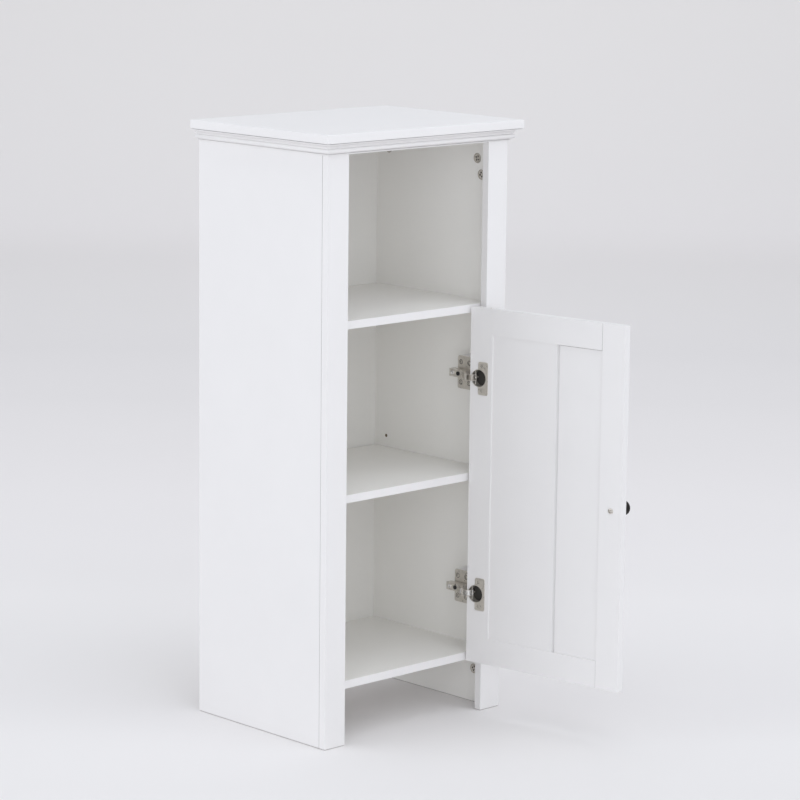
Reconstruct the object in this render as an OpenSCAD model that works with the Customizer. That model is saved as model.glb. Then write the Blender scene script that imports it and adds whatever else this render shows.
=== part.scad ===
/*
Bathroom cabinet: a narrow white painted cabinet with an open top compartment,
a door compartment with one loose shelf, and a clear space under the bottom board.
The door hangs between the two front stiles on two cup hinges and is drawn open.
Everything is in millimetres. X is to the right, Y goes back from the front, Z is up.
The frame stands on the middle of the footprint of the cabinet with its door open.
*/

/* [Node] */
// Which sub-part to draw, or all of them

/* [Body] */
// Overall height to the top of the slab
height = 900; // [820:5:1000]
// Width over the two side panels
body_width = 360; // [340:2:420]
// Depth from the front of the stiles to the back edge
body_depth = 282.5; // [262.5:2.5:320]
// Thickness of the side panels, shelves and bottom board
board = 12; // [11:0.5:14]
// Width of the front stiles
stile_width = 39.5; // [36:0.5:44]
// Thickness of the front stiles and of the door
front_t = 12; // [12:0.5:14]

/* [Top] */
// Thickness of the top slab
slab_t = 13; // [10:0.5:18]
// How far the slab stands out at each side
slab_side = 17; // [16:0.5:22]
// How far the slab stands out at the front
slab_front = 17.5; // [16:0.5:24]
// Small rounding on the arrises of the slab
slab_ease = 0.8; // [0.4:0.1:1.5]
// Height of the crown moulding under the slab
crown_h = 18; // [16:0.5:20]
// Depth of the moulding bars behind the face of the body
crown_bar = 30; // [24:1:36]

/* [Shelves] */
// Top of the upper shelf above the floor
upper_top = 626.3; // [560:0.1:680]
// Top of the loose middle shelf above the floor
middle_top = 370.6; // [330:0.1:400]
// Top of the bottom board above the floor
bottom_top = 92.7; // [80:0.1:130]
// Step of the shelf fronts behind the closed door
shelf_step = 2; // [1.8:0.1:6]
// Side play of the loose shelf at each end
loose_play = 0.5; // [0.3:0.1:1]
// Front face of the back panel before the back edge of the sides
back_inset = 13.6; // [10:0.2:18]
// Thickness of the back panel
back_t = 3; // [2.5:0.1:4]
// Depth of the grooves that hold the back panel
back_groove = 5; // [4:0.5:6]

/* [Door] */
// Gap between the closed door and each stile
door_gap = 1.5; // [1.2:0.1:2]
// How far the door reaches up past the underside of the upper shelf
door_over_top = 10; // [6:0.5:12]
// How far the door reaches down past the top of the bottom board
door_over_bottom = 11.7; // [6:0.1:12]
// Width of the door stiles and rails
rail_w = 40; // [36:0.5:48]
// Thickness of the door panel boards
panel_t = 6; // [5:0.5:6]
// Depth of the grooves that hold the door panel
panel_groove = 8; // [6:0.5:9]
// Place of the joint between the two panel boards, as a share of the opening
panel_share = 0.599; // [0.4:0.001:0.7]
// Width of the bevel on each side of that joint
bevel = 1.3; // [0.8:0.1:1.6]
// Gap between the two panel boards, in which the tongue shows
board_gap = 1.6; // [1:0.1:2]
// Angle at which the door stands open
open_angle = 98; // [90:1:100]

/* [Knob] */
// Distance from the free edge of the door to the knob
knob_in = 19; // [16:0.5:24]
// Distance of the knob below the middle of the door
knob_drop = 2.5; // [0:0.5:20]
// Length of the knob in front of the door
knob_long = 27; // [24:0.5:33]
// Diameter of the knob head
knob_d = 24; // [20:0.5:26]
// Diameter of the knob stem
knob_stem = 11; // [9:0.5:13]

/* [Hinges] */
// Upper hinge below the top of the door
hinge_from_top = 106.5; // [80:0.5:140]
// Lower hinge above the bottom of the door
hinge_from_bottom = 106.5; // [80:0.5:140]
// Centre of the hinge cup from the hinge edge of the door
cup_in = 16.5; // [16.3:0.1:16.8]
// Outer diameter of the hinge cup
cup_d = 26; // [25.8:0.1:26.2]
// Depth of the hinge cup in the door
cup_deep = 10.5; // [10.2:0.1:10.7]
// Thickness of the sheet steel of the cup and its flange
sheet = 0.8; // [0.6:0.1:1]
// Height of the flange of the cup
flange_h = 50; // [46:1:56]
// Height of the mounting plates and their blocks
plate_h = 50; // [44:1:56]
// Depth of the mounting plates and their blocks
plate_d = 30; // [28:1:34]
// Thickness of the mounting plates
plate_t = 1.5; // [1.2:0.1:2]
// Radial running clearance of the hinge pins
pin_play = 0.05; // [0.03:0.01:0.08]

/* [Fittings] */
// Diameter of the cam discs
cam_d = 14.4; // [13:0.2:15]
// Diameter of the wooden dowels
dowel_d = 8; // [6:0.5:8]
// Diameter of the pins that carry the loose shelf
shelf_pin_d = 5; // [4:0.5:6]

/* [Hidden] */

white = [0.93, 0.93, 0.94];
steel = [0.72, 0.73, 0.75];
dark = [0.16, 0.15, 0.15];
birch = [0.85, 0.74, 0.55];

// Body planes
half = body_width / 2;
panel_in = half - board;
stile_in = half - stile_width;
slab_z = height - slab_t;
crown_z = slab_z - crown_h;
back_y = body_depth - back_inset;
shelf_y = front_t + shelf_step;
shelf_len = back_y - shelf_y;
bottom_z = bottom_top - board;

// Fittings in the boards
cam_hole = cam_d + 0.6;
cam_t = board - 3;
cam_reach = 30;
cam_front = 39;
cam_back = 39.5;
stile_cam_low = 53;
stile_cam_top = 54;
bolt_d = 5;
bolt_in = 10;
shelf_cam_in = 24;
dowel_deep = board - 4;
dowel_len = dowel_deep + 20;
pin_front = 52;
pin_pitch = 32;
pin_back = back_y - 26;
bolt_from_end = 40;
dowel_from_end = 72;
knob_screw_in = 13;
pin_z = middle_top - board;

// Door in its closed place
door_t = front_t;
door_edge = stile_in - door_gap;
door_top = upper_top - board + door_over_top;
door_low = bottom_top - door_over_bottom;
door_mid = (door_top + door_low) / 2;
rail_in = door_edge - rail_w;
groove_y = (door_t - panel_t) / 2;
tongue = panel_groove - 1;
joint_x = rail_in - panel_share * 2 * rail_in;
upper_hinge_z = door_top - hinge_from_top;
lower_hinge_z = door_low + hinge_from_bottom;
cup_x = door_edge - cup_in;
cup_hole = cup_d + 0.3;
knob_x = -door_edge + knob_in;
knob_z = door_mid - knob_drop;

// Hinge pivots, closed, from the inner edge of the stile and the inner face of the door
arm_pivot = [door_edge - 20.8, door_t + 9.8];
cup_pivot = [door_edge - 7.3, door_t - 4.2];
link_share = -0.2814;
link_turn = link_share * open_angle;
pin_r = 0.9;
link_z = 3.9;
inner_z = [4.1, 4.75];
cheek_in = 4.95;
cheek_out = 5.8;
saddle_z = cheek_in - 0.25;
sheet_corner = 3;

// Inner link: its pivot on the arm, its seat in the cup when closed, and its turning
inner_pivot = [door_edge - 24.4, door_t + 4.29];
inner_seat = [door_edge - 8.71, door_t - 2.13];
inner_len = 16.217;
inner_share = -0.43619;
inner_closed = -23.015;
inner_turn = inner_closed + inner_share * open_angle;
seat_r = 0.6;
seat_play = 0.85;
eye_r = 2.3;

arm_x = stile_in - 14.5;
arm_long = 50;
arm_crank = 24;
arm_back = door_t + arm_long;
arm_bend = door_t + arm_crank;
plate_y = door_t + 15;
web = 1.2;
plate_holes = [plate_y + 6, plate_y + plate_d - 6.5];

// The hooked outer link as steps along and beside the line from cup pivot to arm pivot
link_steps = [[0, 0], [1.0, 3.6], [2.4, 6.0], [4.8, 6.6], [10.6, 5.0], [norm(arm_pivot - cup_pivot), 0]];

// The hooked inner link as steps along and beside the line from arm pivot to seat
inner_steps = [[0, 0], [3.92, -3.63], [9.02, -5.61], [14.41, -2.59], [inner_len, 0]];

function turned(v, a) = [v.x * cos(a) - v.y * sin(a), v.x * sin(a) + v.y * cos(a)];
function from_pivot(s) = cup_pivot + s.x * link_u + s.y * [-link_u.y, link_u.x];
link_u = (arm_pivot - cup_pivot) / norm(arm_pivot - cup_pivot);
cup_pivot_open = arm_pivot + turned(cup_pivot - arm_pivot, link_turn);
free_corner = cup_pivot_open + turned([-door_edge, door_t] - cup_pivot, open_angle);
front_reach = free_corner.y;
mid_y = (front_reach + body_depth) / 2;

// Moves a sub-part from the body planes to the frame of the whole
module placed()
  translate([0, -mid_y, 0]) children();

// Turns a door part from its closed place to the open one
module opened()
  placed() translate([cup_pivot_open.x, cup_pivot_open.y, 0])
    rotate([0, 0, open_angle]) translate([-cup_pivot.x, -cup_pivot.y, 0]) children();

// Outline of a pressed sheet with rounded corners
module round_sheet(size)
  offset(r = sheet_corner, $fn = 32) offset(delta = -sheet_corner) square(size);

module rod_x(d, x0, x1)
  translate([x0, 0, 0]) rotate([0, 90, 0]) cylinder(d = d, h = x1 - x0, $fn = 48);

module rod_y(d, y0, y1)
  translate([0, y1, 0]) rotate([90, 0, 0]) cylinder(d = d, h = y1 - y0, $fn = 48);

module rod_z(d, z0, z1)
  translate([0, 0, z0]) cylinder(d = d, h = z1 - z0, $fn = 48);

// Cone from diameter da at x0 to db at x1
module taper_x(da, db, x0, x1)
  translate([x0, 0, 0]) rotate([0, 90, 0]) cylinder(d1 = da, d2 = db, h = x1 - x0, $fn = 48);

module taper_y(da, db, y0, y1)
  translate([0, y0, 0]) rotate([-90, 0, 0]) cylinder(d1 = da, d2 = db, h = y1 - y0, $fn = 48);

// Both sides of the cabinet from one drawing of the right side
module both()
  for (side = [0, 1]) mirror([side, 0, 0]) children();

// Places of the cams in the side panels, as y and z
side_cam_places = [[cam_front + front_t, crown_z - cam_reach], [body_depth - cam_back, crown_z - cam_reach]];
stile_cam_places = [[front_t + cam_reach, stile_cam_low], [front_t + cam_reach, crown_z - stile_cam_top]];
shelf_bolt_ys = [shelf_y + bolt_from_end, back_y - bolt_from_end];
shelf_dowel_ys = [shelf_y + dowel_from_end, back_y - dowel_from_end];
shelf_tops = [upper_top, bottom_top];

// Top

// Rectangle with its four corners cut by e
function eased(a0, a1, b0, b1, e) = [[a0 + e, b0], [a1 - e, b0], [a1, b0 + e], [a1, b1 - e],
  [a1 - e, b1], [a0 + e, b1], [a0, b1 - e], [a0, b0 + e]];

module top_slab()
  color(white) placed() intersection() {
    translate([-half - slab_side, 0, 0]) rotate([90, 0, 90])
      linear_extrude(body_width + 2 * slab_side)
        polygon(eased(-slab_front, body_depth, slab_z, height, slab_ease));
    translate([0, body_depth + 1, 0]) rotate([90, 0, 0])
      linear_extrude(body_depth + slab_front + 2)
        polygon(eased(-half - slab_side, half + slab_side, slab_z, height, slab_ease));
  }

// Crown profile: distance out from the body face and height above the crown's foot
crown_top_out = slab_side - 1;
cove_low = 9.8;
cove_r = [crown_top_out - 7.4, crown_h - 1.6 - cove_low];
bead_r = [3.8, 3.6];
crown_face = concat([[2.4, 0], [2.4, 1.6], [3.6, 2.0], [3.6, 2.3]],
  [for (a = [-80:20:80]) [4.6 + bead_r.x * cos(a), 6.1 + bead_r.y * sin(a)]],
  [for (a = [0:15:90]) [crown_top_out - 1 - cove_r.x * cos(a), cove_low + cove_r.y * sin(a)]],
  [[crown_top_out, crown_h - 1.6], [crown_top_out, crown_h]]);
crown_section = concat([[-crown_bar, 0]], crown_face, [[-crown_bar, crown_h]]);

module crown_front()
  color(white) placed() intersection() {
    translate([-half - slab_side, 0, crown_z]) rotate([90, 0, 90])
      linear_extrude(body_width + 2 * slab_side) mirror([1, 0]) polygon(crown_section);
    translate([0, 0, crown_z - 1]) linear_extrude(crown_h + 2)
      polygon([[-half - slab_side, -slab_side], [half + slab_side, -slab_side],
        [half - crown_bar, crown_bar], [-half + crown_bar, crown_bar]]);
  }

module crown_side()
  intersection() {
    translate([half, body_depth, crown_z]) rotate([90, 0, 0])
      linear_extrude(body_depth + slab_side) polygon(crown_section);
    translate([0, 0, crown_z - 1]) linear_extrude(crown_h + 2)
      polygon([[half - crown_bar, crown_bar], [half + slab_side, -slab_side],
        [half + slab_side, body_depth], [half - crown_bar, body_depth]]);
  }

module crown_bored()
  difference() {
    crown_side();
    for (p = side_cam_places)
      translate([half - board / 2, p.x, 0]) rod_z(bolt_d + 0.2, crown_z - 1, crown_z + bolt_in + 0.5);
  }

module crown_right()
  color(white) placed() crown_bored();

module crown_left()
  color(white) placed() mirror([1, 0, 0]) crown_bored();

module crown_back_rail()
  color(white) placed()
    translate([-half + crown_bar, body_depth - crown_bar, crown_z])
      cube([body_width - 2 * crown_bar, crown_bar, crown_h]);

// Sides and stiles

module side_panel()
  difference() {
    translate([panel_in, front_t, 0]) cube([board, body_depth - front_t, crown_z]);
    translate([panel_in - 1, back_y, bottom_z])
      cube([back_groove + 1, back_t + 0.2, crown_z]);
    for (p = concat(side_cam_places, stile_cam_places))
      translate([0, p.x, p.y]) rod_x(cam_hole, panel_in - 1, panel_in + cam_t + 0.2);
    for (p = side_cam_places)
      translate([half - board / 2, p.x, 0]) rod_z(8, p.y, crown_z + 1);
    for (p = stile_cam_places)
      translate([half - board / 2, 0, p.y]) rod_y(8, front_t - 1, p.x);
    for (z = shelf_tops) {
      for (y = shelf_bolt_ys)
        translate([0, y, z - board / 2]) rod_x(bolt_d + 0.2, panel_in - 1, panel_in + 8.5);
      for (y = shelf_dowel_ys)
        translate([0, y, z - board / 2]) rod_x(dowel_d + 0.4, panel_in - 1, panel_in + dowel_deep);
    }
    for (y = [pin_front, pin_back], step = [-pin_pitch, 0, pin_pitch])
      translate([0, y, pin_z - shelf_pin_d / 2 + step]) rod_x(shelf_pin_d + 0.2, panel_in - 1, panel_in + 9);
  }

module right_side_panel()
  color(white) placed() side_panel();

module left_side_panel()
  color(white) placed() mirror([1, 0, 0]) side_panel();

module stile()
  difference() {
    translate([stile_in, 0, 0]) cube([stile_width, front_t, crown_z]);
    for (p = stile_cam_places)
      translate([half - board / 2, 0, p.y]) rod_y(bolt_d + 0.2, front_t - bolt_in + 1, front_t + 1);
  }

module right_stile()
  color(white) placed() stile();

module left_stile()
  color(white) placed() mirror([1, 0, 0]) stile();

// Shelves and back

module fixed_board(top)
  difference() {
    translate([-panel_in, shelf_y, top - board]) cube([2 * panel_in, shelf_len, board]);
    both() {
      for (y = shelf_bolt_ys) {
        translate([panel_in - shelf_cam_in, y, 0]) rod_z(cam_hole, top - board - 1, top - board + cam_t + 0.2);
        translate([0, y, top - board / 2]) rod_x(8, panel_in - shelf_cam_in, panel_in + 1);
      }
      for (y = shelf_dowel_ys)
        translate([0, y, top - board / 2]) rod_x(dowel_d + 0.4, panel_in - 21, panel_in + 1);
    }
  }

module upper_shelf()
  color(white) placed() fixed_board(upper_top);

module bottom_board()
  color(white) placed() fixed_board(bottom_top);

module middle_shelf()
  color(white) placed()
    translate([-panel_in + loose_play, shelf_y, middle_top - board])
      cube([2 * (panel_in - loose_play), shelf_len - 1.5, board]);

module back_panel()
  color(white) placed()
    translate([-panel_in - back_groove + 1, back_y, bottom_z])
      cube([2 * (panel_in + back_groove - 1), back_t, crown_z - bottom_z]);

// Fittings of the body

// Cam disc with its face at z = 0 and its body below, the bolt arriving along +X
module cam()
  difference() {
    rod_z(cam_d, -cam_t, 0);
    translate([0, 0, board / 2 - cam_t - 3]) rotate([0, 0, 0]) rod_x(7, 0, cam_d);
    translate([0, 0, board / 2 - cam_t - 3]) rod_z(9, -3.4, 3.4);
    for (a = [45, 135])
      rotate([0, 0, a]) translate([-3.6, -0.7, -1.6]) cube([7.2, 1.4, 2]);
  }

// Bolt along X: its collar rests at x = 0, the screwed end goes to +X and the head to -X
module cam_bolt(reach) {
  rod_x(bolt_d, 0, bolt_in - 1.5);
  rod_x(7.4, -2, 0);
  rod_x(3.6, -reach + 1.5, -1);
  rod_x(5.8, -reach - 0.5, -reach + 1.6);
}

module side_cams()
  color(steel) placed() both() {
    for (p = side_cam_places)
      translate([panel_in, p.x, p.y]) rotate([0, -90, 0]) cam();
    for (p = stile_cam_places)
      translate([panel_in, p.x, p.y]) rotate([0, -90, 0]) rotate([0, 0, -90]) cam();
  }

module crown_cam_bolts()
  color(steel) placed() both()
    for (p = side_cam_places)
      translate([half - board / 2, p.x, crown_z]) rotate([0, -90, 0]) cam_bolt(cam_reach);

module stile_cam_bolts()
  color(steel) placed() both()
    for (p = stile_cam_places)
      translate([half - board / 2, front_t, p.y]) rotate([0, 0, -90]) cam_bolt(cam_reach);

module shelf_cams()
  color(steel) placed() both()
    for (z = shelf_tops, y = shelf_bolt_ys)
      translate([panel_in - shelf_cam_in, y, z - board]) mirror([0, 0, 1]) cam();

module shelf_cam_bolts()
  color(steel) placed() both()
    for (z = shelf_tops, y = shelf_bolt_ys)
      translate([panel_in, y, z - board / 2]) cam_bolt(shelf_cam_in);

module shelf_dowels()
  color(birch) placed() both()
    for (z = shelf_tops, y = shelf_dowel_ys)
      translate([0, y, z - board / 2]) rod_x(dowel_d, panel_in + dowel_deep - dowel_len, panel_in + dowel_deep);

module shelf_pins()
  color(steel) placed() both()
    for (y = [pin_front, pin_back])
      translate([0, y, pin_z - shelf_pin_d / 2]) {
        rod_x(shelf_pin_d, panel_in - 8, panel_in + 8.5);
        rod_x(shelf_pin_d + 3, panel_in - loose_play + 0.15, panel_in);
      }

// Hinge parts on the body, each drawn at height zero

module at_hinges(z)
  placed() translate([0, 0, z]) children();

module plate_hole_places()
  for (y = plate_holes, z = [-15.5, 15.5]) translate([0, y, z]) children();

module hinge_block()
  difference() {
    translate([stile_in, plate_y, -plate_h / 2]) cube([panel_in - stile_in, plate_d, plate_h]);
    plate_hole_places() rod_x(3.6, stile_in - 1, stile_in + 15);
  }

module upper_hinge_block()
  color(white) at_hinges(upper_hinge_z) hinge_block();

module lower_hinge_block()
  color(white) at_hinges(lower_hinge_z) hinge_block();

arm_screw_ys = [arm_back - 7, arm_back - 19];

module mounting_plate()
  difference() {
    union() {
      translate([stile_in - plate_t, plate_y, -plate_h / 2]) rotate([90, 0, 90])
        linear_extrude(plate_t) round_sheet([plate_d, plate_h]);
      translate([arm_x + web, plate_y + 3, -saddle_z])
        cube([stile_in - plate_t - arm_x - web, arm_back - plate_y - 4, 2 * saddle_z]);
    }
    plate_hole_places() {
      rod_x(4, stile_in - plate_t - 1, stile_in + 1);
      taper_x(7.4, 4, stile_in - plate_t, stile_in - plate_t + 1.2);
    }
    for (y = arm_screw_ys)
      translate([0, y, 0]) rod_x(3.8, arm_x, arm_x + web + 10);
  }

module upper_mounting_plate()
  color(steel) at_hinges(upper_hinge_z) mounting_plate();

module lower_mounting_plate()
  color(steel) at_hinges(lower_hinge_z) mounting_plate();

module cross_cut_x(x0, deep, size)
  for (a = [0, 90])
    rotate([a, 0, 0]) translate([x0, -size / 2, -0.45]) cube([deep, size, 0.9]);

module plate_screw()
  difference() {
    union() {
      taper_x(7, 3.4, stile_in - plate_t, stile_in - plate_t + 1.2);
      rod_x(3.4, stile_in - plate_t + 1, stile_in + 13);
    }
    cross_cut_x(stile_in - plate_t - 0.1, 1, 3.6);
  }

module plate_screws()
  color(steel) for (z = [upper_hinge_z, lower_hinge_z])
    at_hinges(z) plate_hole_places() plate_screw();

module arm_cheek()
  union() {
    linear_extrude(cheek_out - cheek_in)
      polygon([[arm_x + 11, arm_back], [arm_x, arm_back], [arm_x, arm_bend],
        inner_pivot + [-2.1, 1.2], inner_pivot + [-0.4, -2.2],
        arm_pivot + [2.2, -1.0], [arm_x + 11, arm_bend - 1]]);
    for (p = [arm_pivot, inner_pivot])
      translate([p.x, p.y, 0]) cylinder(r = eye_r, h = cheek_out - cheek_in, $fn = 48);
  }

// Share of the cranked front that the web covers
crank = 0.55;
crank_end = [arm_x, arm_bend] + crank * (inner_pivot + [-2.1, 1.2] - [arm_x, arm_bend]);

module hinge_arm()
  difference() {
    union() {
      for (side = [0, 1])
        mirror([0, 0, side]) translate([0, 0, cheek_in]) arm_cheek();
      translate([0, 0, -cheek_in]) linear_extrude(2 * cheek_in)
        polygon([[arm_x, arm_back], [arm_x, arm_bend], crank_end, crank_end + [web, -0.6],
          [arm_x + web, arm_bend - 0.6], [arm_x + web, arm_back]]);
    }
    for (p = [arm_pivot, inner_pivot])
      translate([p.x, p.y, 0]) rod_z(2 * (pin_r + pin_play), -cheek_out - 1, cheek_out + 1);
    for (y = arm_screw_ys)
      translate([0, y, 0]) rod_x(4.2, arm_x - 1, arm_x + web + 1);
  }

module upper_hinge_arm()
  color(steel) at_hinges(upper_hinge_z) hinge_arm();

module lower_hinge_arm()
  color(steel) at_hinges(lower_hinge_z) hinge_arm();

module arm_screw()
  difference() {
    union() {
      rod_x(6.4, arm_x - 1.8, arm_x);
      rod_x(3.4, arm_x - 1, arm_x + web + 8);
    }
    cross_cut_x(arm_x - 1.9, 1.3, 4);
  }

module arm_screws()
  color(dark) for (z = [upper_hinge_z, lower_hinge_z], y = arm_screw_ys)
    at_hinges(z) translate([0, y, 0]) arm_screw();

module arm_pins()
  color(steel) for (z = [upper_hinge_z, lower_hinge_z])
    at_hinges(z) for (p = [arm_pivot, inner_pivot])
      translate([p.x, p.y, 0]) rod_z(2 * pin_r, -cheek_out - 0.2, cheek_out + 0.2);

// Door

module door_side_stile()
  difference() {
    translate([rail_in, 0, door_low]) cube([rail_w, door_t, door_top - door_low]);
    translate([rail_in - 1, groove_y, door_low - 1]) cube([panel_groove + 1, panel_t, door_top - door_low + 2]);
  }

module cup_hole_at(z)
  translate([cup_x, 0, z]) {
    rod_y(cup_hole, door_t - cup_deep - 0.2, door_t + 1);
    for (side = [-1, 1])
      translate([-5, 0, side * 18.5]) rod_y(3.5, door_t - 9.5, door_t + 1);
  }

module door_hinge_stile()
  color(white) opened() difference() {
    door_side_stile();
    cup_hole_at(upper_hinge_z);
    cup_hole_at(lower_hinge_z);
  }

module door_free_stile()
  color(white) opened() difference() {
    mirror([1, 0, 0]) door_side_stile();
    translate([knob_x, 0, knob_z]) rod_y(4.6, -1, door_t + 1);
  }

module door_rail(z0, groove_z)
  difference() {
    union() {
      translate([-rail_in, 0, z0]) cube([2 * rail_in, door_t, rail_w]);
      translate([-rail_in - tongue, groove_y, z0]) cube([2 * (rail_in + tongue), panel_t, rail_w]);
    }
    translate([-rail_in - tongue - 1, groove_y, groove_z]) cube([2 * (rail_in + tongue + 1), panel_t, panel_groove + 1]);
  }

module door_top_rail()
  color(white) opened() door_rail(door_top - rail_w, door_top - rail_w - 1);

module door_bottom_rail()
  color(white) opened() door_rail(door_low, door_low + rail_w - panel_groove);

// Section of the panel boards at their joint, with a tongue on the wide one
board_back = groove_y + panel_t;
tongue_t = panel_t / 3;
tongue_len = board_gap + 4;
shoulder_x = joint_x - board_gap;

module door_panel_wide()
  color(white) opened()
    translate([0, 0, door_low + rail_w - tongue])
      linear_extrude(door_top - door_low - 2 * rail_w + 2 * tongue)
        polygon([[rail_in + tongue, groove_y], [rail_in + tongue, board_back],
          [joint_x + bevel, board_back], [joint_x, board_back - bevel], [joint_x, board_back - tongue_t],
          [joint_x - tongue_len, board_back - tongue_t], [joint_x - tongue_len, groove_y + tongue_t],
          [joint_x, groove_y + tongue_t], [joint_x, groove_y + bevel], [joint_x + bevel, groove_y]]);

module door_panel_narrow()
  color(white) opened()
    translate([0, 0, door_low + rail_w - tongue])
      linear_extrude(door_top - door_low - 2 * rail_w + 2 * tongue)
        polygon([[-rail_in - tongue, groove_y], [-rail_in - tongue, board_back],
          [shoulder_x - bevel, board_back], [shoulder_x, board_back - bevel], [shoulder_x, board_back - tongue_t],
          [shoulder_x - 5, board_back - tongue_t], [shoulder_x - 5, groove_y + tongue_t],
          [shoulder_x, groove_y + tongue_t], [shoulder_x, groove_y + bevel], [shoulder_x - bevel, groove_y]]);

// Hinge parts on the door

floor_y = door_t - cup_deep + sheet;
cup_r = cup_d / 2 - sheet;
seat_end = sqrt(cup_r * cup_r - (inner_seat.x - cup_x) * (inner_seat.x - cup_x)) + sheet / 2;

module hinge_cup()
  difference() {
    union() {
      difference() {
        union() {
          translate([cup_x, 0, 0]) rod_y(cup_d, door_t - cup_deep, door_t + 1);
          translate([cup_x, 0, 0]) rod_y(cup_d + 1, door_t, door_t + 1);
          translate([cup_x - 16.5, door_t + 1, -flange_h / 2]) rotate([90, 0, 0])
            linear_extrude(1) round_sheet([17.8, flange_h]);
        }
        translate([cup_x, 0, 0]) rod_y(cup_d - 2 * sheet, floor_y, door_t + 2);
      }
      translate([cup_pivot.x - 0.8, floor_y - 0.2, -1.2]) cube([2.7, cup_pivot.y - floor_y + 0.2, 2.4]);
      translate([cup_pivot.x, cup_pivot.y, 0]) rod_z(3.8, -1.2, 1.2);
      for (side = [0, 1])
        mirror([0, 0, side]) translate([inner_seat.x, inner_seat.y, 0]) rod_z(2 * seat_r, inner_z[0] + 0.1, seat_end);
    }
    translate([cup_pivot.x, cup_pivot.y, 0]) rod_z(2 * (pin_r + pin_play), -2, 2);
    for (side = [-1, 1])
      translate([cup_x - 5, 0, side * 18.5]) taper_y(4, 6.6, door_t - 0.3, door_t + 1.01);
  }

module upper_hinge_cup()
  color(steel) opened() translate([0, 0, upper_hinge_z]) hinge_cup();

module lower_hinge_cup()
  color(steel) opened() translate([0, 0, lower_hinge_z]) hinge_cup();

module cup_screw()
  difference() {
    union() {
      taper_y(3.2, 6.2, door_t, door_t + 1);
      rod_y(3.2, door_t - 8.5, door_t);
    }
    for (a = [0, 90])
      rotate([0, a, 0]) translate([-1.6, door_t + 0.1, -0.4]) cube([3.2, 1, 0.8]);
  }

module cup_screws()
  color(steel) opened()
    for (z = [upper_hinge_z, lower_hinge_z], side = [-1, 1])
      translate([cup_x - 5, 0, z + side * 18.5]) cup_screw();

module cup_pins()
  color(steel) opened()
    for (z = [upper_hinge_z, lower_hinge_z])
      translate([cup_pivot.x, cup_pivot.y, z]) rod_z(2 * pin_r, -link_z, link_z);

module knob()
  color(dark) opened()
    translate([knob_x, 0, knob_z]) rotate([90, 0, 0]) difference() {
      rotate_extrude($fn = 64) polygon(concat(
        [[0, 0], [knob_stem / 2 + 2.2, 0], [knob_stem / 2 + 2.2, 1.6], [knob_stem / 2 + 0.6, 2.6]],
        [for (a = [0:15:90]) [knob_stem / 2 - 1.1 + 1.7 * (1 - sin(a)), 3.2 + (knob_long - 17.4) * a / 90]],
        [[knob_stem / 2 + 1.5, knob_long - 12.2], [knob_d / 2 - 1.4, knob_long - 9.6]],
        [for (a = [-40:20:90]) [(knob_d / 2 - 3.4) * cos(max(a, 0)) + 3.4 * cos(a), knob_long - 6.6 + (a > 0 ? 6.6 * sin(a) : 3.2 * sin(a))]]));
      rod_z(4.2, -1, knob_screw_in + 1);
    }

module knob_screw()
  color(steel) opened()
    translate([knob_x, 0, knob_z]) difference() {
      union() {
        rod_y(8, door_t, door_t + 2.2);
        rod_y(3.8, -knob_screw_in, door_t + 1);
      }
      for (a = [0, 90])
        rotate([0, a, 0]) translate([-2.2, door_t + 1, -0.5]) cube([4.4, 2, 1]);
    }

// Outer links, hooked so that they pass round the edge of the door

module outer_link() {
  pts = [for (s = link_steps) from_pivot(s)];
  last = len(pts) - 1;
  difference() {
    union() {
      for (i = [0:last - 1]) {
        d = pts[i + 1] - pts[i];
        n = 1.05 * [-d.y, d.x] / norm(d);
        translate([0, 0, -link_z]) linear_extrude(2 * link_z)
          polygon([pts[i] + n, pts[i + 1] + n, pts[i + 1] - n, pts[i] - n]);
      }
      for (i = [1:last - 1])
        translate([pts[i].x, pts[i].y, 0]) rod_z(2.1, -link_z, link_z);
      translate([pts[0].x, pts[0].y, 0]) rod_z(3.6, -link_z, link_z);
      translate([pts[last].x, pts[last].y, 0]) rod_z(4.2, -link_z, link_z);
    }
    for (i = [0, last])
      translate([pts[i].x, pts[i].y, 0]) rod_z(2 * (pin_r + pin_play), -link_z - 1, link_z + 1);
    translate([pts[0].x, pts[0].y, 0]) rod_z(5, -1.5, 1.5);
  }
}

module link_opened(z)
  placed() translate([arm_pivot.x, arm_pivot.y, z]) rotate([0, 0, link_turn])
    translate([-arm_pivot.x, -arm_pivot.y, 0]) children();

module upper_outer_link()
  color(steel) link_opened(upper_hinge_z) outer_link();

module lower_outer_link()
  color(steel) link_opened(lower_hinge_z) outer_link();

// Inner links, two cheeks outside the outer link, joined by a web beside the arm pivot

function inner_point(s) = inner_pivot + turned([s.x, s.y], inner_turn);

module cheek_bar(a, b, r)
  linear_extrude(inner_z[1] - inner_z[0])
    polygon([a + r * side_of(a, b), b + r * side_of(a, b), b - r * side_of(a, b), a - r * side_of(a, b)]);

function side_of(a, b) = [a.y - b.y, b.x - a.x] / norm(b - a);

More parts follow.
